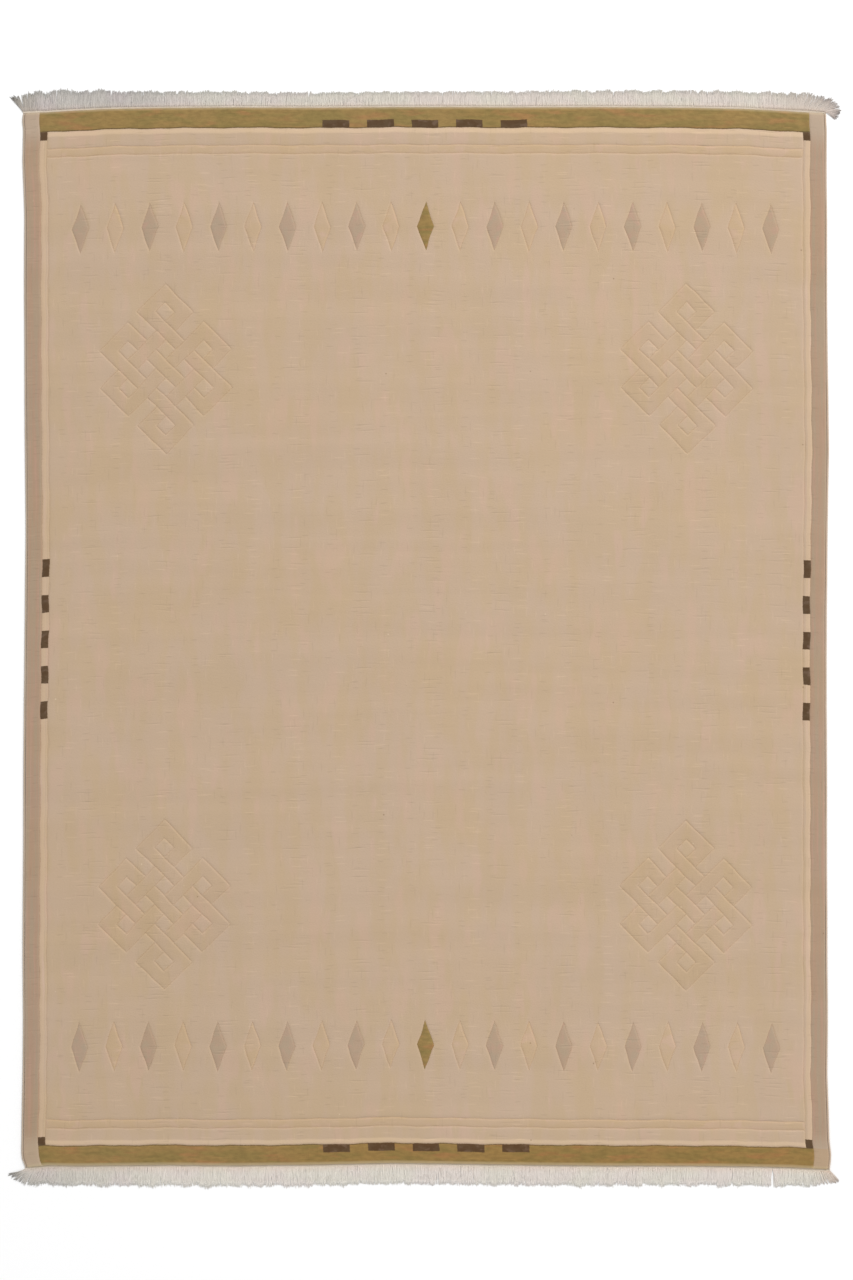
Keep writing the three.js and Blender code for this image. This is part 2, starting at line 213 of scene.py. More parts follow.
@dataclass(frozen=True)
class RugSizes:
    """Driving sizes of the rug, in metres, as the frame's solids have them."""

    overall_width: float = 2700 * MM
    pile_length: float = 3550 * MM
    pile_height: float = 12 * MM
    seat_gap: float = 0.3 * MM
    selvedge_thickness: float = 7 * MM
    strip_depth: float = 9 * MM
    strip_height: float = 3.4 * MM
    side_band: float = 57 * MM
    guard_stripe: float = 24 * MM
    end_band: float = 68 * MM
    end_stripe_inset: float = 58 * MM
    end_stripe: float = 28 * MM

    @property
    def half_width(self) -> float:
        """Half the width over both overcast sides."""
        return self.overall_width / 2

    @property
    def half_length(self) -> float:
        """Half the length of the pile."""
        return self.pile_length / 2

    @property
    def pile_half_width(self) -> float:
        """Half the width of the pile alone."""
        return self.half_width - self.selvedge_thickness - self.seat_gap

    @property
    def side_line(self) -> float:
        """Where the side band ends, from the rug's middle."""
        return self.half_width - self.side_band

    @property
    def guard_line(self) -> float:
        """Where the guard stripe ends, from the rug's middle."""
        return self.side_line - self.guard_stripe

    @property
    def end_line(self) -> float:
        """Where the end band ends, from the rug's middle."""
        return self.half_length - self.end_band

    @property
    def stripe_line(self) -> float:
        """Outer edge of the narrow stripe inside the end band."""
        return self.end_line - self.end_stripe_inset


def column(table: tuple[NamedTuple, ...], name: str) -> Array:
    """One column of a table, by its name."""
    return np.array([getattr(row, name) for row in table], float)


class Loom:
    """Moves places on the loom to where the finished rug has them on the floor."""

    SAMPLES = 1421
    SMOOTHING_PASSES = 16

    def __init__(self, sizes: RugSizes) -> None:
        """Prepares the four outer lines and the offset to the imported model.

        Args:
            sizes: Driving sizes of the rug.
        """
        self.sizes = sizes
        self.places = np.linspace(0.0, 1.0, self.SAMPLES)
        self.left, self.right = (self._eased(SIDE_LINES, "along", side) for side in ("left", "right"))
        self.near, self.far = (self._eased(END_LINES, "across", end) for end in ("near", "far"))
        self.offset = np.zeros(2)
        lowest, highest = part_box("rug_pile")
        outline = self.lay(rim_ring(sizes, 0.0))
        own_middle = (outline.min(0) + outline.max(0)) / 2
        self.offset = (np.array(lowest[:2]) + np.array(highest[:2])) / 2 - own_middle

    def _eased(self, table: tuple[NamedTuple, ...], place: str, name: str) -> Array:
        """A table's column at even places, joined by straight lines and then eased round its bends.

        Args:
            table: The table, in millimetres.
            place: Name of the column of places, from 0 to 1.
            name: Name of the column to ease.

        Returns:
            Metres at each of self.places: each pass gives every value a quarter of both its neighbours.
        """
        line = np.interp(self.places, column(table, place), column(table, name)) * MM
        for _ in range(self.SMOOTHING_PASSES):
            padded = np.pad(line, 1, mode="edge")
            line = padded[:-2] / 4 + line / 2 + padded[2:] / 4
        return line

    def lay(self, loom: Array) -> Array:
        """Lays places on the floor: each is pushed out by its share of the two side and the two end lines.

        Args:
            loom: Places on the loom, one row each.

        Returns:
            The places on the floor, one row each.
        """
        across = np.clip(loom[:, 0] / self.sizes.overall_width + 0.5, 0.0, 1.0)
        along = np.clip(loom[:, 1] / self.sizes.pile_length + 0.5, 0.0, 1.0)
        left, right = (np.interp(along, self.places, line) for line in (self.left, self.right))
        near, far = (np.interp(across, self.places, line) for line in (self.near, self.far))
        x = loom[:, 0] - left * (1 - across) + right * across
        y = loom[:, 1] - near * (1 - along) + far * along
        return np.column_stack([x, y]) + self.offset


RIM_CORNER_RADIUS = 5 * MM
RIM_LEAST_RADIUS = 1 * MM
RIM_CORNER_STEPS = 6
RIM_STATION = 12 * MM


def rim_ring(sizes: RugSizes, inset: float) -> Array:
    """Closed ring about the pile: a rectangle drawn in by an inset, with corners that get sharper inwards.

    Args:
        sizes: Driving sizes of the rug.
        inset: How far inside the pile's outline the ring runs.

    Returns:
        Places on the loom, anticlockwise, with the same count for every inset.
    """
    radius = max(RIM_CORNER_RADIUS - inset, RIM_LEAST_RADIUS)
    a, b = sizes.pile_half_width - inset - radius, sizes.half_length - inset - radius
    acrosses = np.linspace(-a, a, round(sizes.overall_width / RIM_STATION))
    alongs = np.linspace(-b, b, round(sizes.pile_length / RIM_STATION))
    turn = np.linspace(0.0, math.pi / 2, RIM_CORNER_STEPS + 2)[1:-1]

    def corner(sign_u: int, sign_v: int, start: float) -> Array:
        """Quarter circle about one corner's middle, from a starting angle on."""
        arc = np.column_stack([np.cos(turn + start), np.sin(turn + start)]) * radius
        return arc + np.array([sign_u * a, sign_v * b])

    def side(u: Array | float, v: Array | float) -> Array:
        """Straight run of places, of which one coordinate is the same all along."""
        return np.column_stack(np.broadcast_arrays(np.asarray(u, float), np.asarray(v, float)))

    return np.concatenate([
        side(acrosses, -b - radius),
        corner(1, -1, -math.pi / 2),
        side(a + radius, alongs),
        corner(1, 1, 0.0),
        side(acrosses[::-1], b + radius),
        corner(-1, 1, math.pi / 2),
        side(-a - radius, alongs[::-1]),
        corner(-1, -1, math.pi),
    ])


def segment_distance(points: Array, start: Array, end: Array) -> Array:
    """Distance of points from straight segments: to the foot on each segment, held between its two ends.

    Args:
        points: Points, one row each.
        start: Starts of the segments, one row each.
        end: Ends of the segments, one row each.

    Returns:
        The distance of each point from its nearest segment.
    """
    run = end - start
    gap = points[:, None, :] - start[None, :, :]
    share = np.clip((gap * run).sum(2) / (run * run).sum(1), 0.0, 1.0)
    foot = gap - share[:, :, None] * run
    return np.sqrt((foot * foot).sum(2)).min(1)


def turned(points: Array, angle: float) -> Array:
    """Points turned anticlockwise about the origin."""
    cosine, sine = math.cos(angle), math.sin(angle)
    return points @ np.array([[cosine, sine], [-sine, cosine]])


class Line(NamedTuple):
    """One carved line on the loom; a closed one's last point joins its first."""

    points: Array
    closed: bool


@dataclass(frozen=True)
class Carving:
    """Lines cut into the pile with shears held aslant: bands, two rows of lozenges and four knots."""

    sizes: RugSizes
    depth: float = 3 * MM
    half_width: float = 7 * MM
    row_inset: float = 400 * MM
    lozenges_per_row: int = 21
    lozenge_pitch: float = 116 * MM
    lozenge_width: float = 56 * MM
    lozenge_height: float = 162 * MM
    knot_pitch: float = 90 * MM
    knot_ribbon: float = 44 * MM
    knot_across: float = 875 * MM
    knot_along: float = 900 * MM
    knot_turn: float = math.pi / 4
    stop_short: float = 1.5 * MM

    @property
    def lozenge_row(self) -> float:
        """Distance of a lozenge row from the rug's middle."""
        return self.sizes.half_length - self.row_inset

    @property
    def last_lozenge(self) -> float:
        """Number of the outermost lozenge of a row, counted from the middle one."""
        return (self.lozenges_per_row - 1) / 2

    @property
    def knot_reach(self) -> float:
        """Radius about a knot's middle that holds all its carved lines."""
        return math.hypot(2 * self.knot_pitch, 2 * self.knot_pitch) + self.knot_ribbon

    def bands(self) -> tuple[Array, Array]:
        """Straight lines that part the bands, in the quarter where both coordinates are positive.

        Returns:
            Where each line leaves a middle line of the rug, and its run from there, one row each.
        """
        s = self.sizes
        inner = s.stripe_line - s.end_stripe
        starts = [[s.side_line, 0], [s.guard_line, 0], [0, s.end_line], [0, s.stripe_line], [0, inner]]
        runs = [[0, s.half_length], [0, s.end_line], [s.side_line, 0], [s.guard_line, 0], [s.guard_line, 0]]
        return np.array(starts, float), np.array(runs, float)

    def band_lines(self) -> list[Line]:
        """Lines that part the bands, in full: each runs both ways from a middle line of the rug.

        Returns:
            The lines on the left and at the near end, then those on the right and at the far end.
        """
        starts, runs = self.bands()
        return [
            Line(np.array([sign * start - run, sign * start + run]), False)
            for sign in (-1, 1)
            for start, run in zip(starts, runs)
        ]

    def lozenge_lines(self) -> list[Line]:
        """Outlines of the lozenges.

        Returns:
            One closed line of four corners for each lozenge, the near row first.
        """
        w, h = self.lozenge_width / 2, self.lozenge_height / 2
        outline = np.array([[w, 0.0], [0.0, h], [-w, 0.0], [0.0, -h]])
        order = np.arange(self.lozenges_per_row) - self.last_lozenge
        return [
            Line(outline + np.array([place * self.lozenge_pitch, sign * self.lozenge_row]), True)
            for sign in (-1, 1)
            for place in order
        ]

    def knot_track(self) -> Array:
        """Middle line of the endless knot's ribbon: up and down three strands, then across three.

        Returns:
            Its corners about the knot's own middle, one row each; the last joins the first.
        """
        p, e = self.knot_pitch, 2 * self.knot_pitch
        return np.array([
            [-p, -e], [-p, e], [0, e], [0, -e], [p, -e], [p, e],
            [e, e], [e, p], [-e, p], [-e, 0], [e, 0], [e, -p], [-e, -p], [-e, -e],
        ])

    def _hidden(self, start: Array, end: Array) -> list[tuple[Array, Array]]:
        """Stretches where one edge of the ribbon passes under other strands.

        Args:
            start: Start of the straight edge.
            end: End of the straight edge.

        Returns:
            Pairs of points, in order, between which the edge is not carved.
        """
        half = self.knot_ribbon / 2 + self.stop_short
        middles = (-self.knot_pitch, 0.0, self.knot_pitch)
        run = end - start
        upright = abs(run[1]) > abs(run[0])
        fixed, way = (start[0], np.sign(run[1])) if upright else (start[1], np.sign(run[0]))
        own = [k for k, middle in enumerate(middles) if abs(middle - fixed) < half]
        if not own:
            return []
        under = [middle for k, middle in enumerate(middles) if ((own[0] + k) % 2 == 0) != upright]

        def place(along: float) -> Array:
            """Point of the edge at a distance along it."""
            return np.array([fixed, along] if upright else [along, fixed])

        return [
            (place(middle - way * half), place(middle + way * half))
            for middle in sorted(under, key=lambda m: way * m)
        ]

    def knot_edges(self) -> list[Array]:
        """Both edges of the ribbon, broken where it passes under itself.

        An edge's corner lies off the track's by half the ribbon times the sum of the headings before and
        after it, turned a quarter.

        Returns:
            Open lines about the knot's own middle, one row for each point.
        """
        track = self.knot_track()
        heading = np.roll(track, -1, 0) - track
        heading /= np.linalg.norm(heading, axis=1)[:, None]
        turn = np.roll(heading, 1, 0) + heading
        edges: list[Array] = []
        for half in (-self.knot_ribbon / 2, self.knot_ribbon / 2):
            corners = track + np.column_stack([-turn[:, 1], turn[:, 0]]) * half
            lines = [[corners[0]]]
            for corner, following in zip(corners, np.roll(corners, -1, 0)):
                for start, stop in self._hidden(corner, following):
                    lines[-1].append(start)
                    lines.append([stop])
                lines[-1].append(following)
            opening = lines.pop(0)
            lines[-1].extend(opening[1:])
            edges.extend(np.array(line) for line in lines)
        return edges

    def knot_lines(self) -> list[Line]:
        """Carved lines of the four knots, each turned to stand on a corner.

        Returns:
            The open lines of one knot after the other.
        """
        return [
            Line(turned(edge, self.knot_turn) + np.array([u, v]), False)
            for u in (-self.knot_across, self.knot_across)
            for v in (-self.knot_along, self.knot_along)
            for edge in self.knot_edges()
        ]

    def near_knot(self, points: Array) -> tuple[Array, Array]:
        """Places about the middle of their nearest knot, turned so that the knot's strands run straight.

        Args:
            points: Places on the loom, one row each.

        Returns:
            Numbers of the places that a knot's carving can reach, and where those lie about its middle.
        """
        middles = np.where(points < 0, -1.0, 1.0) * np.array([self.knot_across, self.knot_along])
        local = turned(points - middles, -self.knot_turn)
        close = np.flatnonzero(np.linalg.norm(local, axis=1) < self.knot_reach)
        return close, local[close]

    def distance(self, points: Array) -> Array:
        """Distance from the nearest carved line.

        The bands are the same in all four quarters and the lozenges repeat, so both are measured on places
        folded into one quarter or onto one lozenge. Only places near a knot are measured against its edges.

        Args:
            points: Places on the loom, one row each.

        Returns:
            One distance for each place.
        """
        folded = np.abs(points)
        starts, runs = self.bands()
        nearest = segment_distance(folded, starts, starts + runs)

        order = np.clip(np.round(folded[:, 0] / self.lozenge_pitch), 0, self.last_lozenge)
        middles = np.column_stack([order * self.lozenge_pitch, np.full(len(order), self.lozenge_row)])
        tip, flank = np.array([[self.lozenge_width / 2, 0.0]]), np.array([[0.0, self.lozenge_height / 2]])
        nearest = np.minimum(nearest, segment_distance(np.abs(folded - middles), tip, flank))

        close, local = self.near_knot(points)
        edges = self.knot_edges()
        starts = np.concatenate([edge[:-1] for edge in edges])
        ends = np.concatenate([edge[1:] for edge in edges])
        nearest[close] = np.minimum(nearest[close], segment_distance(local, starts, ends))
        return nearest

    def cut(self, points: Array) -> Array:
        """Share of the full carving depth: 1 on a line, down to 0 at the half width as one less a sine."""
        share = np.clip(self.distance(points) / self.half_width, 0.0, 1.0)
        return 1.0 - np.sin(share * math.pi / 2)

    def ribbon(self, points: Array) -> Array:
        """Share by which places lie on a knot's ribbon, which falls evenly across its carved edges.

        Args:
            points: Places on the loom, one row each.

        Returns:
            1 inside the ribbon and 0 outside it, for each place.
        """
        share = np.zeros(len(points))
        close, local = self.near_knot(points)
        track = self.knot_track()
        off = segment_distance(local, track, np.roll(track, -1, 0)) - self.knot_ribbon / 2
        share[close] = np.clip(0.5 - off / (2 * self.half_width), 0.0, 1.0)
        return share


def place_mesh(
    name: str,
    vertices: Array,
    faces: list[Array],
    loom: Array,
    marks: dict[str, Array] | None = None,
    flat_ends: int = 0,
) -> Piece:
    """Makes a smooth-shaded mesh object at the origin from whole arrays.

    Args:
        name: Name of the piece.
        vertices: Coordinates, one row each.
        faces: Arrays of vertex numbers, one row for each face; each array holds faces of one size.
        loom: Coordinates for the map that the finishes read, one row for each vertex.
        marks: Further values that the finishes read, one for each vertex.
        flat_ends: How many of the arrays of faces, counted from the last, are flat ends with a crisp edge.

    Returns:
        The new object, linked to the scene.
    """
    mesh = bpy.data.meshes.new(name)
    corners = np.concatenate([part.ravel() for part in faces]).astype(np.int32)
    counts = np.concatenate([np.full(len(part), part.shape[1]) for part in faces]).astype(np.int32)
    starts = np.concatenate([[0], np.cumsum(counts)[:-1]]).astype(np.int32)
    mesh.vertices.add(len(vertices))
    mesh.vertices.foreach_set("co", vertices.astype(np.float32).ravel())
    mesh.loops.add(len(corners))
    mesh.loops.foreach_set("vertex_index", corners)
    mesh.polygons.add(len(counts))
    mesh.polygons.foreach_set("loop_start", starts)
    mesh.update(calc_edges=True)
    smooth = np.arange(len(counts)) < sum(len(part) for part in faces[:len(faces) - flat_ends])
    mesh.polygons.foreach_set("use_smooth", smooth)
    layer = mesh.uv_layers.new(name=LOOM_MAP)
    layer.data.foreach_set("uv", loom[corners].astype(np.float32).ravel())
    for mark, values in (marks or {}).items():
        attribute = mesh.attributes.new(mark, "FLOAT", "POINT")
        attribute.data.foreach_set("value", values.astype(np.float32))
    mesh.validate()
    piece = bpy.data.objects.new(name, mesh)
    bpy.context.scene.collection.objects.link(piece)
    return piece


def place_tubes(
    name: str,
    vertices: Array,
    loom: Array,
    counts: tuple[int, int, int],
    clockwise: bool,
    marks: dict[str, Array] | None = None,
) -> Piece:
    """Makes closed tubes from vertices that run side by side, ring by ring and tube by tube.

    The wall is quads, and each end is one flat, many-sided face.

    Args:
        name: Name of the piece.
        vertices: Coordinates, one row each.
        loom: Coordinates for the map that the finishes read, one row for each vertex.
        counts: How many tubes, rings in a tube and vertices in a ring.
        clockwise: Whether the rings run so, as seen from a tube's end towards its start.
        marks: Further values that the finishes read, one for each vertex.

    Returns:
        The new object, linked to the scene.
    """
    tubes, rings, sides = counts
    base = (np.arange(tubes) * rings * sides)[:, None, None]
    ring = (np.arange(rings - 1) * sides)[None, :, None]
    side = np.arange(sides)[None, None, :]
    following = (side + 1) % sides
    low = base + ring
    wall = np.stack([low + side, low + following, low + sides + following, low + sides + side], -1)
    first = base[:, 0] + np.arange(sides)[::-1]
    last = base[:, 0] + (rings - 1) * sides + np.arange(sides)
    faces = [wall.reshape(-1, 4), first, last]
    if clockwise:
        faces = [part[:, ::-1] for part in faces]
    return place_mesh(name, vertices, faces, loom, marks, flat_ends=2)


@dataclass
class KnottedCloth:
    """Ground and cut pile in one closed mesh, with its rim, its carved lines and its knotted back."""

    sizes: RugSizes
    loom: Loom
    carving: Carving
    rim_height: float = 6 * MM
    shoulder: float = 10 * MM
    shoulder_steps: int = 6
    filler: float = 14 * MM
    filler_clearance: float = 5 * MM
    back_filler: float = 55 * MM
    band_station: float = 20 * MM
    motif_station: float = 12 * MM
    lump_height: float = 0.35 * MM
    wander: float = 1.2 * MM
    wander_inset: float = 40 * MM
    merge: float = 0.02 * MM
    crisp_edge: float = math.radians(60)

    ROW_SHARES = (-1.0, -0.6, -0.25, 0.0, 0.25, 0.6, 1.0)
    LUMPS = (Wave(19, 1.3, 7), Wave(23, 1.1, 9, start=1), Wave(41, 2, 13))
    DRIFT_ACROSS = (Wave(31, 2, 5), Wave(83, 3, 17, height=0.6))
    DRIFT_ALONG = (Wave(27, 2, 6, start=1), Wave(71, 3, 19, height=0.6))

    def _rows(self, line: Line, station: float) -> list[Array]:
        """Rows of points beside a carved line: moved sideways, with mitred corners, and cut up evenly.

        Args:
            line: The carved line.
            station: Greatest distance between two points of a row.

        Returns:
            One row of points for each of ROW_SHARES of the carving's half width.
        """
        points = line.points
        ahead = np.roll(points, -1, 0) - points
        ahead /= np.linalg.norm(ahead, axis=1)[:, None]
        behind = np.roll(ahead, 1, 0)
        if not line.closed:
            ahead[-1] = behind[-1]
            behind[0] = ahead[0]
        mitre = np.column_stack([-(ahead + behind)[:, 1], (ahead + behind)[:, 0]])
        mitre /= (1 + (ahead * behind).sum(1))[:, None]
        if line.closed:
            points, mitre = np.vstack([points, points[:1]]), np.vstack([mitre, mitre[:1]])
        lengths = np.linalg.norm(np.diff(points, axis=0), axis=1)
        pieces = np.maximum(np.ceil(lengths / station).astype(int), 1)
        places = np.concatenate([[0], np.cumsum(pieces)])
        stops = np.arange(places[-1] + 1)
        rows = []
        for share in self.ROW_SHARES:
            moved = points + mitre * share * self.carving.half_width
            rows.append(np.column_stack([np.interp(stops, places, moved[:, k]) for k in (0, 1)]))
        return rows

    def _inset(self, points: Array) -> Array:
        """How far places lie inside the pile's outline, a rectangle with round corners.

        Args:
            points: Places on the loom, one row each.

        Returns:
            One distance for each place, negative outside.
        """
        radius = RIM_CORNER_RADIUS
        half = np.array([self.sizes.pile_half_width, self.sizes.half_length]) - radius
        past = np.abs(points) - half
        outside = np.linalg.norm(np.maximum(past, 0.0), axis=1)
        return radius - outside - np.minimum(past.max(1), 0.0)

    def _height(self, points: Array) -> Array:
        """Height of the pile's surface.

        The rim rises from its upright part to full height as a quarter ellipse. Inside it the pile is sheared
        level but for low, wide lumps, a sum of three crossed waves, and each carved line is cut into it.

        Args:
            points: Places on the loom, one row each.

        Returns:
            One height above the floor for each place.
        """
        s = self.sizes
        inset = np.clip(self._inset(points) / self.shoulder, 0.0, 1.0)
        rim = self.rim_height + (s.pile_height - self.rim_height) * np.sqrt(1.0 - (1.0 - inset) ** 2)
        u, v = points.T
        runs = ((u, v), (v, u), (u + v, u - v))
        lumps = sum(wave.along(*run) for wave, run in zip(self.LUMPS, runs))
        level = s.pile_height + self.lump_height / len(self.LUMPS) * lumps * inset
        cut = self.carving.depth * self.carving.cut(points)
        return np.minimum(rim + (level - s.pile_height), level - cut)

    def _drift(self, points: Array) -> Array:
        """How far hand-knotting has let the pattern wander: crossed waves, which die down towards the rim.

        Args:
            points: Places on the loom, one row each.

        Returns:
            Shifts on the loom, one row each.
        """
        u, v = points.T
        fade = np.clip(self._inset(points) / self.wander_inset, 0.0, 1.0) ** 2
        across = sum(wave.along(v, u) for wave in self.DRIFT_ACROSS)
        along = sum(wave.along(u, v) for wave in self.DRIFT_ALONG)
        return np.column_stack([across, along]) * (fade * self.wander)[:, None]

    def _fill(self, spacing: float) -> Array:
        """Even points in offset rows over the whole rug.

        Args:
            spacing: Distance between the points of a row.

        Returns:
            Places on the loom, one row each, some of them outside the pile.
        """
        s = self.sizes
        drop = spacing * math.sqrt(3) / 2
        columns = np.arange(-s.pile_half_width, s.pile_half_width, spacing)
        rows = np.arange(-s.half_length, s.half_length, drop)
        u, v = np.meshgrid(columns, rows)
        u = u + (np.arange(len(rows)) % 2)[:, None] * spacing / 2
        return np.column_stack([u.ravel(), v.ravel()])

    def _triangles(self, rows: list[tuple[Array, bool]], filler: Array) -> tuple[Array, Array]:
        """Triangles over the pile that keep every row of points as edges.

        Args:
            rows: Rows of points, and whether each closes on itself.
            filler: Loose points between the rows.

        Returns:
            Places on the loom, and triangles that face up.
        """
        edges = []
        count = 0
        for row, closed in rows:
            order = np.arange(len(row)) + count
            pairs = np.column_stack([order, np.roll(order, -1)])
            edges.append(pairs if closed else pairs[:-1])
            count += len(row)
        points = np.vstack([row for row, _ in rows] + [filler])
        made = delaunay_2d_cdt(points.tolist(), np.vstack(edges).tolist(), [], 0, self.merge)
        places = np.array([tuple(v) for v in made[0]])
        faces = np.array(made[2])
        a, b, c = (places[faces[:, k]] for k in range(3))
        area = (b[:, 0] - a[:, 0]) * (c[:, 1] - a[:, 1]) - (b[:, 1] - a[:, 1]) * (c[:, 0] - a[:, 0])
        faces[area < 0] = faces[area < 0][:, ::-1]
        return places, faces

    def _border(self, places: Array, faces: Array) -> Array:
        """Vertices on the border: the ends of edges that one triangle alone has.

        Args:
            places: Places of the vertices, one row each.
            faces: Triangles, one row each.

        Returns:
            Numbers of the vertices, by their bearing from the middle.
        """
        edges = np.sort(np.vstack([faces[:, [0, 1]], faces[:, [1, 2]], faces[:, [2, 0]]]), 1)
        lone, uses = np.unique(edges, axis=0, return_counts=True)
        border = np.unique(lone[uses == 1])
        return border[np.argsort(np.arctan2(places[border, 1], places[border, 0]))]

    def _top(self) -> tuple[Array, Array]:
        """Triangles of the pile's surface: rings round the rim, rows beside every carved line, and filler.

        Returns:
            Places on the loom, and triangles that face up.
        """
        carving = self.carving
        angles = np.linspace(0.0, math.pi / 2, self.shoulder_steps + 1)
        rows = [(rim_ring(self.sizes, self.shoulder * (1 - math.cos(angle))), True) for angle in angles]
        for lines, station in (
            (carving.band_lines(), self.band_station),
            (carving.lozenge_lines() + carving.knot_lines(), self.motif_station),
        ):
            rows.extend((row, False) for line in lines for row in self._rows(line, station))
        filler = self._fill(self.filler)
        free = carving.distance(filler) > carving.half_width + self.filler_clearance
        free &= self._inset(filler) > self.shoulder + self.filler_clearance
        return self._triangles(rows, filler[free])

    def build(self) -> Piece:
        """Builds the cloth: top, upright rim and flat back.

        Returns:
            The piece, which takes two finishes: pile first, then back.
        """
        places, top = self._top()
        border = self._border(places, top)
        filler = self._fill(self.back_filler)
        filler = filler[self._inset(filler) > self.shoulder]
        back_places, back = self._triangles([(places[border], True)], filler)
        back_border = self._border(back_places, back)

        count, floor = len(places), np.zeros(len(back_places))
        loom = np.vstack([places, back_places])
        heights = np.concatenate([self._height(places), floor])
        vertices = np.column_stack([self.loom.lay(loom + self._drift(loom)), heights])
        upper, lower = border, back_border + count
        wall = np.column_stack([lower, np.roll(lower, -1), np.roll(upper, -1), upper])
        marks = {
            "carved": np.concatenate([self.carving.cut(places), floor]),
            "ribbon": np.concatenate([self.carving.ribbon(places), floor]),
        }
        piece = place_mesh("knotted_cloth", vertices, [top, back[:, ::-1] + count, wall], loom, marks)
        finishes = np.zeros(len(piece.data.polygons), np.int32)
        finishes[len(top):len(top) + len(back)] = 1
        piece.data.polygons.foreach_set("material_index", finishes)
        piece.data.set_sharp_from_angle(angle=self.crisp_edge)
        return piece


@dataclass
class OvercastSide:
    """Cord along one side of the rug, wound over with yarn: a tube that swells at every turn of the yarn.

    Bracing is the power that raises the tube's flank towards the pile: 1 leaves it round, 0 makes it upright.
    """

    sizes: RugSizes
    loom: Loom
    side: Side
    turn_pitch: float = 3.6 * MM
    rings_per_turn: int = 5
    sides: int = 8
    swell: float = 0.13
    slip: float = 0.8
    slip_rate: float = 5.1
    nose_least: float = 0.02
    bracing: float = 0.35
    wander: float = 0.35 * MM
    wander_rate: float = 11.0

    def build(self) -> Piece:
        """Builds the cord.

        A ring of radius r lies round the cord's middle at each station. The radius is the cord's own less a
        share that goes from nothing on a turn of yarn to the full swell between two turns, as a cosine of the
        way along plus the angle round the cord, so the turns lie aslant. The half towards the pile is pressed
        up against it. The tube closes to a round nose at both ends, and lies flat on the floor.

        Returns:
            The piece.
        """
        s = self.sizes
        radius = s.selvedge_thickness / 2
        rings = round(s.pile_length / self.turn_pitch * self.rings_per_turn) + 1
        along = np.linspace(-s.half_length, s.half_length, rings)[:, None]
        angle = ((np.arange(self.sides) + 0.5) * TURN / self.sides)[None, :]
        slip = self.slip * np.sin(along * self.slip_rate)
        wave = np.cos(TURN * along / self.turn_pitch + angle + slip)
        thickness = radius * (1 - self.swell * (0.5 - 0.5 * wave))
        past = np.clip((np.abs(along) - (s.half_length - radius)) / radius, 0.0, 1.0)
        thickness = thickness * np.sqrt(np.maximum(1 - past**2, self.nose_least))
        middle = self.side.value * (s.half_width - radius + self.wander * np.sin(along * self.wander_rate))
        across = middle + thickness * np.cos(angle) * self.side.value
        sine = np.sin(angle)
        pressed = np.sign(sine) * np.abs(sine) ** self.bracing
        up = np.maximum(radius + thickness * np.where(np.cos(angle) < 0, pressed, sine), 0.0)
        loom = np.column_stack([across.ravel(), np.broadcast_to(along, across.shape).ravel()])
        vertices = np.column_stack([self.loom.lay(loom), up.ravel()])
        name = f"overcast_{self.side.name.lower()}"
        return place_tubes(name, vertices, loom, (1, rings, self.sides), self.side is Side.RIGHT)


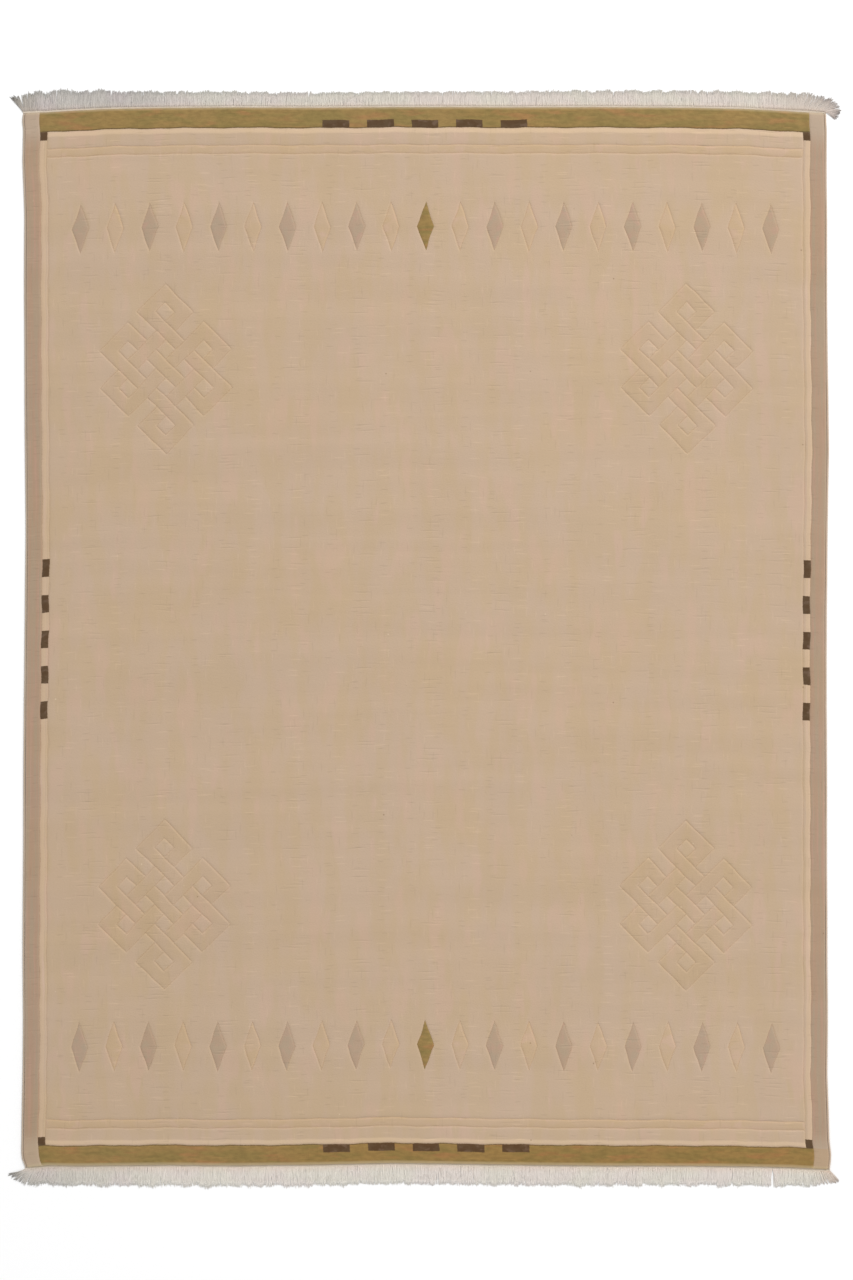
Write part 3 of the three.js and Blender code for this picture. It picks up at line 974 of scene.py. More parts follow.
@dataclass
class WarpFringe:
    """Woven heading at one end of the rug, and the loose cotton warp ends beyond it, in a soft mat.

    A span holds the least and the most of what chance gives a strand or a tuft.
    """

    sizes: RugSizes
    loom: Loom
    end: End

    warp_pitch: float = 2.25 * MM
    stations_per_warp: int = 3
    weave_height: float = 0.35 * MM
    heading_waver: float = 0.6 * MM
    heading_rim: float = 0.62
    heading_crown: float = 0.2

    locks: int = 120
    tufts_per_lock: int = 3
    strands_per_tuft: int = 14
    rings: int = 7
    yarn: float = 2.8 * MM
    yarn_spread: Span = (0.8, 1.15)
    tip_taper: float = 0.5
    heading_overlap: float = 5.5 * MM
    tuft_reach: float = 0.62
    tuft_gather: float = 0.1
    bundle_gather: float = 0.9
    gather_power: float = 1.5
    bundle_locks: float = 3.0
    bundle_calm: float = 0.7

    length_drift: float = 0.03
    tuft_length_spread: float = 0.03
    strand_length_spread: float = 0.045

    drift_lean: float = 3.0
    strand_lean: float = 2.2
    lean_onset: float = 4.5
    strand_curl: float = 6.0
    tuft_curl: float = 3.0
    ripple: Span = (2.0, 6.0)
    ripple_turns: Span = (0.6, 1.4)
    parting_width: float = 9 * MM

    mat_places: tuple[float, ...] = (0.0, 0.17, 0.34, 1.0)
    mat_tops: tuple[float, ...] = (2.4 * MM, 4.0 * MM, 4.2 * MM, 2.4 * MM)
    mat_floors: tuple[float, ...] = (0.7 * MM, 1.4 * MM, 0.5 * MM, 0.0)
    strand_above: float = 0.5
    strand_below: float = 0.6

    strand_shade: float = 0.25
    tuft_shade: float = 0.15
    # These darken the strands at the fringe's outer edges and the splayed tips at its corners.
    edge_darkening: float = 6.0
    edge_locks: float = 0.12
    splay_darkening: float = 10.5
    darkening_spread: Span = (0.5, 1.5)

    SEED = 20
    TOP_DEPTHS = (0.0, *np.linspace(0.0, 1.0, 8), 1.0, 0.67, 0.33)
    TOP_HEIGHTS = (0.0, *np.ones(8), 0.0, 0.0, 0.0)
    WEFTS = 7
    WAVER = Wave(37, 2, 11)
    LENGTH_DRIFTS = (Wave(57, 2, 9), Wave(133, 3, 21))
    LEAN_DRIFTS = (310 * MM, 97 * MM, 41 * MM)
    STRAND_CORNERS = (math.pi / 6, math.pi * 5 / 6, math.pi * 3 / 2)

    @property
    def label(self) -> str:
        """The end's name, in lower case."""
        return self.end.name.lower()

    def heading(self) -> Piece:
        """Builds the woven heading.

        Its section is a low slab: a flat underside, two upright edges and a top of eight points. The top
        rises and falls as a sine of the way along times a cosine of the way across, so that each warp passes
        over and under the wefts.

        Returns:
            The piece.
        """
        s, out = self.sizes, self.end.value
        rings = round(s.overall_width / self.warp_pitch * self.stations_per_warp) + 1
        along = np.linspace(-s.half_width, s.half_width, rings)[:, None]
        depth = np.array(self.TOP_DEPTHS)[None, :]
        edge = np.minimum(depth, 1 - depth) * 2
        weave = np.sin(TURN * along / self.warp_pitch) * np.cos(self.WEFTS * math.pi * depth)
        crown = s.strip_height * (self.heading_rim + self.heading_crown * np.sqrt(edge))
        up = np.maximum((crown + self.weave_height * weave) * np.array(self.TOP_HEIGHTS), 0.0)
        waver = self.heading_waver * self.WAVER.along(along, along)
        outwards = s.seat_gap + depth * (s.strip_depth + waver)
        loom = np.column_stack([
            np.broadcast_to(along, outwards.shape).ravel(),
            (out * (s.half_length + outwards)).ravel(),
        ])
        vertices = np.column_stack([self.loom.lay(loom), up.ravel()])
        counts = (1, rings, depth.shape[1])
        return place_tubes(f"heading_{self.label}", vertices, loom, counts, self.end is End.FAR)

    def _lengths(self, root: Array, tuft: Array, rng: Random) -> Array:
        """Lengths of the strands: the table's, times two slow bent waves, a tuft's chance and a strand's own.

        Args:
            root: Places of the strands along the heading.
            tuft: Number of the tuft that each strand belongs to.
            rng: Source of the chances.

        Returns:
            One length for each strand.
        """
        across = root / self.sizes.overall_width + 0.5
        usual = np.interp(across, column(LOCK_LENGTHS, "across"), column(LOCK_LENGTHS, self.label))
        drift = sum(wave.along(root, root) for wave in self.LENGTH_DRIFTS)
        length = usual * MM * (1 + self.length_drift * drift)
        length = length * (1 + self.tuft_length_spread * rng.normal(0, 1, tuft[-1] + 1)[tuft])
        return length * (1 + self.strand_length_spread * rng.normal(0, 1, len(root)))

    def _lie(self, root: Array, tuft_middle: Array, rng: Random) -> Lie:
        """How the fringe lies, with leans to the right of straight out.

        It drifts to and fro, a sum of three slow waves, leans away from every parting, and fans out at both
        corners, evenly from each stop of the corner's fan to the next. Its tufts keep together less and less
        over the first three locks, and the outermost strands fade from 1 to nothing as an exponential.

        Args:
            root: Places of the strands along the heading.
            tuft_middle: Middles of the tufts that the strands belong to.
            rng: Source of the waves' phases.

        Returns:
            The lie of each strand.
        """
        phase = rng.uniform(0, TURN, len(self.LEAN_DRIFTS))
        lean = self.drift_lean / 2 * sum(
            np.sin(TURN * root / length + start) for length, start in zip(self.LEAN_DRIFTS, phase)
        )
        for parting in PARTINGS:
            if parting.end is self.end:
                gap = root - parting.across * MM
                lean = lean + parting.lean * np.sign(gap) * np.exp(-np.abs(gap) / self.parting_width)
        pitch = self.sizes.overall_width / self.locks
        curl, shift, bundled, outer = np.zeros((4, len(root)))
        for side in Side:
            fan = CORNER_FANS[self.end, side]
            locks, leans, curls, drawn = zip(*fan.stops)
            own = (self.sizes.half_width - side.value * root) / pitch
            together = fan.bundled * np.clip(1 - own / self.bundle_locks, 0.0, 1.0)
            inwards = own - side.value * together * (tuft_middle - root) / pitch
            lean = lean + side.value * np.interp(inwards, locks, leans)
            curl = curl + side.value * np.interp(inwards, locks, curls)
            shift = shift + side.value * pitch * np.interp(own, locks, drawn)
            bundled = bundled + together
            outer = outer + np.exp(-own / self.edge_locks)
        return Lie(lean, curl, shift, bundled, outer)

    def _bearings(self, lie: Lie, tuft: Array, share: Array, rng: Random) -> tuple[Array, Array]:
        """Bearings of the strands: straight out at first, then turned by a lean, a curl and a ripple, a sine.

        Args:
            lie: How the strands lie.
            tuft: Number of the tuft that each strand belongs to.
            share: Places along a strand, from 0 to 1, in one row.
            rng: Source of the strands' own turns.

        Returns:
            Each strand's lean in degrees, and its bearing in radians at each place, one row each.
        """
        count = len(tuft)
        loose = 1 - self.bundle_calm * lie.bundled
        lean = lie.lean + self.strand_lean * loose * rng.normal(0, 1, count)
        curl = lie.curl + self.strand_curl * loose * rng.normal(0, 1, count)
        curl = curl + self.tuft_curl * rng.normal(0, 1, tuft[-1] + 1)[tuft]
        strength = (loose * rng.uniform(*self.ripple, count))[:, None]
        turns = share * rng.uniform(*self.ripple_turns, count)[:, None] + rng.uniform(0, 1, count)[:, None]
        turned_by = lean[:, None] * np.minimum(share * self.lean_onset, 1) + curl[:, None] * share
        return lean, np.radians(turned_by + strength * np.sin(TURN * turns))

    def _shades(self, lie: Lie, lean: Array, tuft: Array, share: Array, rng: Random) -> Array:
        """Shades of the strands: chances, darker strands at the fringe's edges, and darker tips where they
        are splayed.

        Splayed tips darken by the sine of their lean times the square of the way out.

        Args:
            lie: How the strands lie.
            lean: Each strand's lean in degrees.
            tuft: Number of the tuft that each strand belongs to.
            share: Places along a strand, from 0 to 1, in one row.
            rng: Source of the chances.

        Returns:
            One shade for each place of each strand, one row each; 0 is usual and less is darker.
        """
        count, tufts = len(tuft), tuft[-1] + 1
        shade = rng.normal(0, self.strand_shade, count) + rng.normal(0, self.tuft_shade, tufts)[tuft]
        splayed = self.splay_darkening * np.abs(np.sin(np.radians(lean)))
        darkening = splayed * rng.uniform(*self.darkening_spread, tufts)[tuft]
        return (shade - self.edge_darkening * lie.outer)[:, None] - darkening[:, None] * share**2

    def fringe(self) -> Piece:
        """Builds the warp ends.

        Each strand is a three-sided tube, flat side up, along a path that starts in the heading, leaves it
        straight and turns by its own lean and curl: its places are running sums of steps along its bearing.
        Strands of a tuft stand beside each other at the root and draw together towards the tip. They lie on
        each other in a mat that rises out of the heading, swells a third of the way out and comes down to the
        floor, and thin out to the tip.

        Returns:
            The piece.
        """
        s, out = self.sizes, self.end.value
        rng = np.random.default_rng(self.SEED + out)
        tufts = self.locks * self.tufts_per_lock
        count = tufts * self.strands_per_tuft
        tuft = np.repeat(np.arange(tufts), self.strands_per_tuft)
        pitch = s.overall_width / tufts
        tuft_middle = (tuft + 0.5) * pitch - s.half_width
        limit = s.half_width - self.yarn / 2
        reach = rng.uniform(-self.tuft_reach, self.tuft_reach, count)
        root = np.clip(tuft_middle + reach * pitch, -limit, limit)
        length = self._lengths(root, tuft, rng)
        lie = self._lie(root, tuft_middle, rng)
        share = np.linspace(0.0, 1.0, self.rings)[None, :]
        lean, bearing = self._bearings(lie, tuft, share, rng)

        step = length[:, None] / (self.rings - 1)
        sideways = np.cumsum(np.sin(bearing) * step, 1) - np.sin(bearing[:, :1]) * step
        ahead = np.cumsum(np.cos(bearing) * step, 1) - np.cos(bearing[:, :1]) * step
        gather = self.tuft_gather + (self.bundle_gather - self.tuft_gather) * lie.bundled
        sideways = sideways - (gather * (root - tuft_middle))[:, None] * share**self.gather_power
        foot = self.loom.lay(np.column_stack([root + lie.shift, np.full(count, out * s.half_length)]))
        x = foot[:, :1] + sideways
        y = foot[:, 1:] + out * (s.seat_gap + s.strip_depth - self.heading_overlap + ahead)

        radius = self.yarn / 2 * (1 - self.tip_taper * share**3)
        radius = radius * rng.uniform(*self.yarn_spread, count)[:, None]
        layer = np.sqrt(rng.uniform(0, 1, count))[:, None]
        low = np.interp(share, self.mat_places, self.mat_floors) + self.strand_below * radius
        high = np.interp(share, self.mat_places, self.mat_tops) - self.strand_above * radius
        z = low + (high - low) * layer
        corner = np.array(self.STRAND_CORNERS)[None, None, :]
        right = np.cos(corner) * radius[:, :, None]
        up = np.sin(corner) * radius[:, :, None]
        vertices = np.stack([
            x[:, :, None] + right * np.cos(bearing)[:, :, None],
            y[:, :, None] - right * out * np.sin(bearing)[:, :, None],
            np.maximum(z[:, :, None] + up, 0.0),
        ], -1).reshape(-1, 3)

        sides = len(self.STRAND_CORNERS)
        along = np.broadcast_to(share[:, :, None], right.shape)
        loom = np.column_stack([np.repeat(root, self.rings * sides), along.ravel()])
        shade = np.repeat(self._shades(lie, lean, tuft, share, rng).ravel(), sides)
        counts = (count, self.rings, sides)
        name = f"warp_ends_{self.label}"
        return place_tubes(name, vertices, loom, counts, self.end is End.FAR, {"shade": shade})


def linear(colour: str) -> tuple[float, float, float, float]:
    """Turns an sRGB hex colour into linear values with full alpha.

    Args:
        colour: Six hex digits after a hash sign.

    Returns:
        Red, green, blue and alpha.
    """
    channels = [int(colour[k:k + 2], 16) / 255 for k in (1, 3, 5)]
    red, green, blue = (c / 12.92 if c <= 0.04045 else ((c + 0.055) / 1.055) ** 2.4 for c in channels)
    return (red, green, blue, 1.0)


# Settings that many nodes share. A blend of two colours takes its share and both colours at the inputs
# numbered here, and gives out its colour at the output numbered last.
EASED = {"interpolation_type": "SMOOTHSTEP"}
PLUS, MINUS, TIMES, OVER, LARGER, SIZE, SCALED = (
    {"operation": name}
    for name in ("ADD", "SUBTRACT", "MULTIPLY", "DIVIDE", "MAXIMUM", "ABSOLUTE", "SCALE")
)
BLEND = {"data_type": "RGBA"}
TINT = {"data_type": "RGBA", "blend_type": "MULTIPLY"}
SHARE, FIRST, SECOND, BLENDED = 0, 6, 7, 2


class Ramp(NamedTuple):
    """Range of a pattern's values, and what it gives at its start and at its stop."""

    start: float
    stop: float
    first: float = 0.0
    last: float = 1.0


class Nodes:
    """Node tree in the making, with the coordinates on the loom that the patterns read."""

    def __init__(self, tree: bpy.types.NodeTree) -> None:
        """Empties the tree."""
        tree.nodes.clear()
        self.tree = tree

    def add(
        self,
        kind: str,
        settings: dict[str, Any] | None = None,
        links: dict[int | str, Any] | tuple[Any, ...] = (),
        out: int | str = 0,
    ) -> Socket:
        """Adds one node with its settings and links.

        Args:
            kind: Type of the node, without the words that all types of shader node start with.
            settings: Properties of the node.
            links: Sockets or plain values for its inputs, by number or name, or in order from the first.
            out: Output to return.

        Returns:
            The chosen output, or the node's first input where it has no output.
        """
        node = self.tree.nodes.new("ShaderNode" + kind)
        for name, value in (settings or {}).items():
            setattr(node, name, value)
        for name, value in links.items() if isinstance(links, dict) else enumerate(links):
            if isinstance(value, Socket):
                self.tree.links.new(value, node.inputs[name])
            else:
                node.inputs[name].default_value = value
        return node.outputs[out] if len(node.outputs) else node.inputs[0]

    @cached_property
    def place(self) -> Socket:
        """Coordinates on the loom, in metres."""
        return self.add("UVMap", {"uv_map": LOOM_MAP})

    @cached_property
    def across(self) -> Socket:
        """Coordinate across the loom."""
        return self.add("SeparateXYZ", {}, (self.place,))

    @cached_property
    def along(self) -> Socket:
        """Coordinate along the loom."""
        return self.across.node.outputs[1]

    def shaded(self, colour: Socket, *patterns: tuple[Socket, Ramp]) -> Socket:
        """Colour made darker and lighter by patterns.

        Args:
            colour: The colour.
            patterns: Patterns and the factors that each one gives, easing in and out.

        Returns:
            The shaded colour.
        """
        for pattern, factors in patterns:
            factor = self.add("MapRange", EASED, (pattern, *factors))
            colour = self.add("VectorMath", SCALED, {0: colour, "Scale": factor})
        return colour


class Mottle(NamedTuple):
    """Unevenness of a yarn: millimetres of its clouds across and along, and how many finer ones follow."""

    across: float
    along: float
    detail: float = 1.0

    def clouds(self, nodes: Nodes, place: Socket | None = None) -> Socket:
        """Cloudy pattern.

        Args:
            nodes: Node tree in the making.
            place: Coordinates in metres, where they aren't those on the loom.

        Returns:
            A value from 0 to 1.
        """
        scale = (1 / (self.across * MM), 1 / (self.along * MM), 1.0)
        scaled = nodes.add("VectorMath", TIMES, (nodes.place if place is None else place, scale))
        return nodes.add("TexNoise", {}, {"Vector": scaled, "Scale": 1.0, "Detail": self.detail})


class Dye(NamedTuple):
    """Colours of one dyed yarn: the usual one, two that its dye drifts to, and the patches it drifts in.

    Heather is the share by which small dabs of it are darker or lighter.
    """

    usual: str
    drifted: str
    rare: str
    patches: Mottle
    heather: float = 0.0

    def colour(self, nodes: Nodes) -> Socket:
        """Colour of the yarn, which dye bath and spinning change from patch to patch.

        Args:
            nodes: Node tree in the making.

        Returns:
            The colour.
        """
        aside = nodes.add("VectorMath", PLUS, (nodes.place, (7.0, 3.0, 0.0)))
        colour: Any = linear(self.usual)
        for place, shares, tone in (
            (nodes.place, Ramp(0.42, 0.6), self.drifted),
            (aside, Ramp(0.54, 0.68), self.rare),
        ):
            share = nodes.add("MapRange", EASED, (self.patches.clouds(nodes, place), *shares))
            colour = nodes.add("Mix", BLEND, {SHARE: share, FIRST: colour, SECOND: linear(tone)}, BLENDED)
        if not self.heather:
            return colour
        dabs = Mottle(24, 11, 2.0).clouds(nodes)
        return nodes.shaded(colour, (dabs, Ramp(0.3, 0.7, 1 - self.heather, 1 + self.heather)))


class Yarn(Enum):
    """Dyed yarns of the pile, and a dark olive that is painted shade along the end bands' carved inner edge.
    """

    FIELD = Dye("#BCA48D", "#BBA388", "#BFA48E", Mottle(60, 240, 2.0))
    GUARD = Dye("#C4AA90", "#C3A98E", "#C6AB95", Mottle(16, 300, 2.0))
    SIDE = Dye("#A98D77", "#A5907A", "#AF8F7B", Mottle(9, 420, 2.0))
    OLIVE = Dye("#917749", "#877345", "#98744A", Mottle(140, 32, 4.0), 0.09)
    # Painted shade: the dark line where the olive pile meets the groove at the end bands' inner edge.
    EDGE = Dye("#6E5A3A", "#685838", "#755C40", Mottle(60, 30, 2.0))
    BROWN = Dye("#553F2A", "#5A4632", "#675242", Mottle(30, 20, 2.0))
    TAUPE = Dye("#AE957F", "#AB9680", "#B19480", Mottle(30, 40, 2.0))
    SAND = Dye("#BDA388", "#BCA284", "#C0A48C", Mottle(60, 60, 2.0))


class Outline(Enum):
    """Outlines of dyed areas."""

    BLOCK = "block"
    LOZENGE = "lozenge"


class DyedArea(NamedTuple):
    """Area of the pile in a yarn of its own, the same in all four quarters, and where it repeats."""

    yarn: Yarn
    middle: Span
    half: Span
    pitch: Span = (0.0, 0.0)
    repeats: int = 0
    outline: Outline = Outline.BLOCK

    def _off(self, nodes: Nodes, place: Socket, way: int) -> Socket:
        """Distance from the middle of the nearest repeat, along one direction of the loom.

        Args:
            nodes: Node tree in the making.
            place: Distance from the rug's middle line.
            way: 0 across the loom and 1 along it.

        Returns:
            The distance in metres.
        """
        off = nodes.add("Math", MINUS, (place, self.middle[way]))
        if self.pitch[way] > 0:
            order = nodes.add("Math", OVER, (off, self.pitch[way]))
            order = nodes.add("Math", {"operation": "ROUND"}, (order,))
            order = nodes.add("Clamp", {}, (order, 0.0, float(self.repeats)))
            order = nodes.add("Math", TIMES, (order, self.pitch[way]))
            off = nodes.add("Math", MINUS, (off, order))
        return nodes.add("Math", SIZE, (off,))

    def inside(self, nodes: Nodes, across: Socket, along: Socket, fuzz: float) -> Socket:
        """Share of the area's yarn at a place.

        A block's edge is where the larger of both overshoots is nothing; a lozenge's is where the two
        distances, each over its half size, add up to one.

        Args:
            nodes: Node tree in the making.
            across: Distance from the rug's middle line across it.
            along: The same along it.
            fuzz: How far out and in its edge is blurred.

        Returns:
            1 inside and 0 outside.
        """
        offs = [self._off(nodes, place, way) for way, place in enumerate((across, along))]
        if self.outline is Outline.BLOCK:
            overs = (nodes.add("Math", MINUS, (off, half)) for off, half in zip(offs, self.half))
            outside = nodes.add("Math", LARGER, tuple(overs))
        else:
            shares = (nodes.add("Math", OVER, (off, half)) for off, half in zip(offs, self.half))
            both = nodes.add("Math", PLUS, tuple(shares))
            over = nodes.add("Math", MINUS, (both, 1.0))
            scale = self.half[0] * self.half[1] / math.hypot(*self.half)
            outside = nodes.add("Math", TIMES, (over, scale))
        return nodes.add("MapRange", EASED, (outside, fuzz, -fuzz))


@dataclass(frozen=True)
class DyePlan:
    """Where each yarn is knotted in, beside the plain field, and the line of painted shade at the end bands.
    """

    sizes: RugSizes
    carving: Carving
    block_length: float = 60 * MM
    block_pitch: float = 120 * MM
    dash_length: float = 90 * MM
    dash_width: float = 26 * MM
    dash_pitch: float = 150 * MM
    square: float = 28 * MM
    pale: float = 16 * MM
    edge: float = 1.4 * MM
    past_rim: float = 20 * MM
    fuzz: float = 0.8 * MM
    fuzz_scale: float = 210.0

    def areas(self) -> list[DyedArea]:
        """All dyed areas.

        Returns:
            The areas; a later one covers an earlier one.
        """
        s, c = self.sizes, self.carving
        guard = (s.side_line + s.guard_line) / 2
        width = s.guard_stripe / 2
        stripe = s.stripe_line - s.end_stripe / 2
        lozenge = (c.lozenge_width / 2, c.lozenge_height / 2)
        row, pitch = c.lozenge_row, (2 * c.lozenge_pitch, 0.0)
        side_half = (s.side_band + self.past_rim) / 2
        end_half = (s.end_band + self.past_rim) / 2
        dash = (self.dash_length / 2, self.dash_width / 2)
        return [
            DyedArea(Yarn.GUARD, (s.side_line - self.pale / 2, 0.0), (self.pale / 2, s.end_line)),
            DyedArea(Yarn.SIDE, (s.side_line + side_half, 0.0), (side_half, s.half_length + self.past_rim)),
            DyedArea(Yarn.OLIVE, (0.0, s.end_line + end_half), (s.side_line, end_half)),
            # Painted shade: a thin dark line along the carved line at the end band's inner edge.
            DyedArea(Yarn.EDGE, (0.0, s.end_line + self.edge), (s.side_line, self.edge)),
            DyedArea(Yarn.SAND, (0.0, stripe), (s.guard_line, s.end_stripe / 2)),
            DyedArea(Yarn.TAUPE, (0.0, row), lozenge, pitch, 5, Outline.LOZENGE),
            DyedArea(Yarn.SAND, (c.lozenge_pitch, row), lozenge, pitch, 4, Outline.LOZENGE),
            DyedArea(Yarn.OLIVE, (0.0, row), lozenge, outline=Outline.LOZENGE),
            DyedArea(Yarn.BROWN, (guard, s.end_line - self.square / 2), (width, self.square / 2)),
            DyedArea(Yarn.BROWN, (guard, 0.0), (width, self.block_length / 2), (0.0, self.block_pitch), 2),
            DyedArea(Yarn.BROWN, (0.0, s.end_line + self.dash_width / 2), dash, (self.dash_pitch, 0.0), 2),
        ]

    def dyed(self, nodes: Nodes) -> Socket:
        """Colour of the yarns, with the painted shade at the end bands' edge, before any other shading: each
        area's yarn laid over the ones before it.

        Args:
            nodes: Node tree in the making.

        Returns:
            The colour.
        """
        fuzz = nodes.add("TexNoise", {}, {"Vector": nodes.place, "Scale": self.fuzz_scale, "Detail": 1.0}, 1)
        fuzz = nodes.add("VectorMath", MINUS, (fuzz, (0.5, 0.5, 0.5)))
        fuzz = nodes.add("VectorMath", SCALED, {0: fuzz, "Scale": 3 * self.fuzz})
        fuzzy = nodes.add("VectorMath", PLUS, (nodes.place, fuzz))
        folded = nodes.add("VectorMath", SIZE, (fuzzy,))
        across = nodes.add("SeparateXYZ", {}, (folded,))
        along = across.node.outputs[1]
        yarns = {yarn: yarn.value.colour(nodes) for yarn in Yarn}
        colour = yarns[Yarn.FIELD]
        for area in self.areas():
            inside = area.inside(nodes, across, along, self.fuzz)
            layers = {SHARE: inside, FIRST: colour, SECOND: yarns[area.yarn]}
            colour = nodes.add("Mix", BLEND, layers, BLENDED)
        return colour


@dataclass(frozen=True, kw_only=True)
class Finish:
    """What all finishes share: one shader, the same all over but for its colour and its fine relief."""

    name: str
    roughness: float = 0.9
    specular: float = 0.15
    sheen: float = 0.0
    sheen_roughness: float = 0.5
    sheen_tint: str = "#FFFFFF"
    bump: float = 0.0
    relief: float = 0.0

    def surface(self, nodes: Nodes) -> tuple[Any, Socket | None]:
        """Colour and relief of the surface.

        Args:
            nodes: Node tree in the making.

        Returns:
            The colour, and the height of the relief as a share, or nothing on a smooth surface.
        """
        raise NotImplementedError

    def make(self) -> bpy.types.Material:
        """Puts the material together.

        Returns:
            The finished material.
        """
        material = bpy.data.materials.new(self.name)
        material.use_nodes = True
        nodes = Nodes(material.node_tree)
        colour, height = self.surface(nodes)
        sockets = {
            "Base Color": colour,
            "Roughness": self.roughness,
            "Specular IOR Level": self.specular,
            "Sheen Weight": self.sheen,
            "Sheen Roughness": self.sheen_roughness,
            "Sheen Tint": linear(self.sheen_tint),
        }
        if height is not None:
            relief = {"Strength": self.bump, "Distance": self.relief, "Height": height}
            sockets["Normal"] = nodes.add("Bump", {}, relief)
        shader = nodes.add("BsdfPrincipled", {}, sockets)
        nodes.add("OutputMaterial", {}, {"Surface": shader})
        return material


class Streak(NamedTuple):
    """Faint streaks: one in each cell of this size in millimetres, its shade, and the cells' shift."""

    across: float
    along: float
    shade: float
    shift: tuple[float, float, float]


STREAKS = (
    # The first two streaks are painted light: a shade, and a highlight shifted just beside it, as on a raised
    # row of knots.
    Streak(230, 15, 0.9, (0.0, 0.0, 0.0)),
    Streak(230, 15, 1.06, (0.0, 3.4 * MM, 0.0)),
    Streak(150, 14, 1.09, (5.1, 2.7, 0.0)),
    Streak(90, 13, 0.9, (3.3, 6.2, 0.0)),
    Streak(15, 130, 0.94, (1.7, 8.3, 0.0)),
    Streak(15, 110, 1.05, (9.2, 4.4, 0.0)),
)


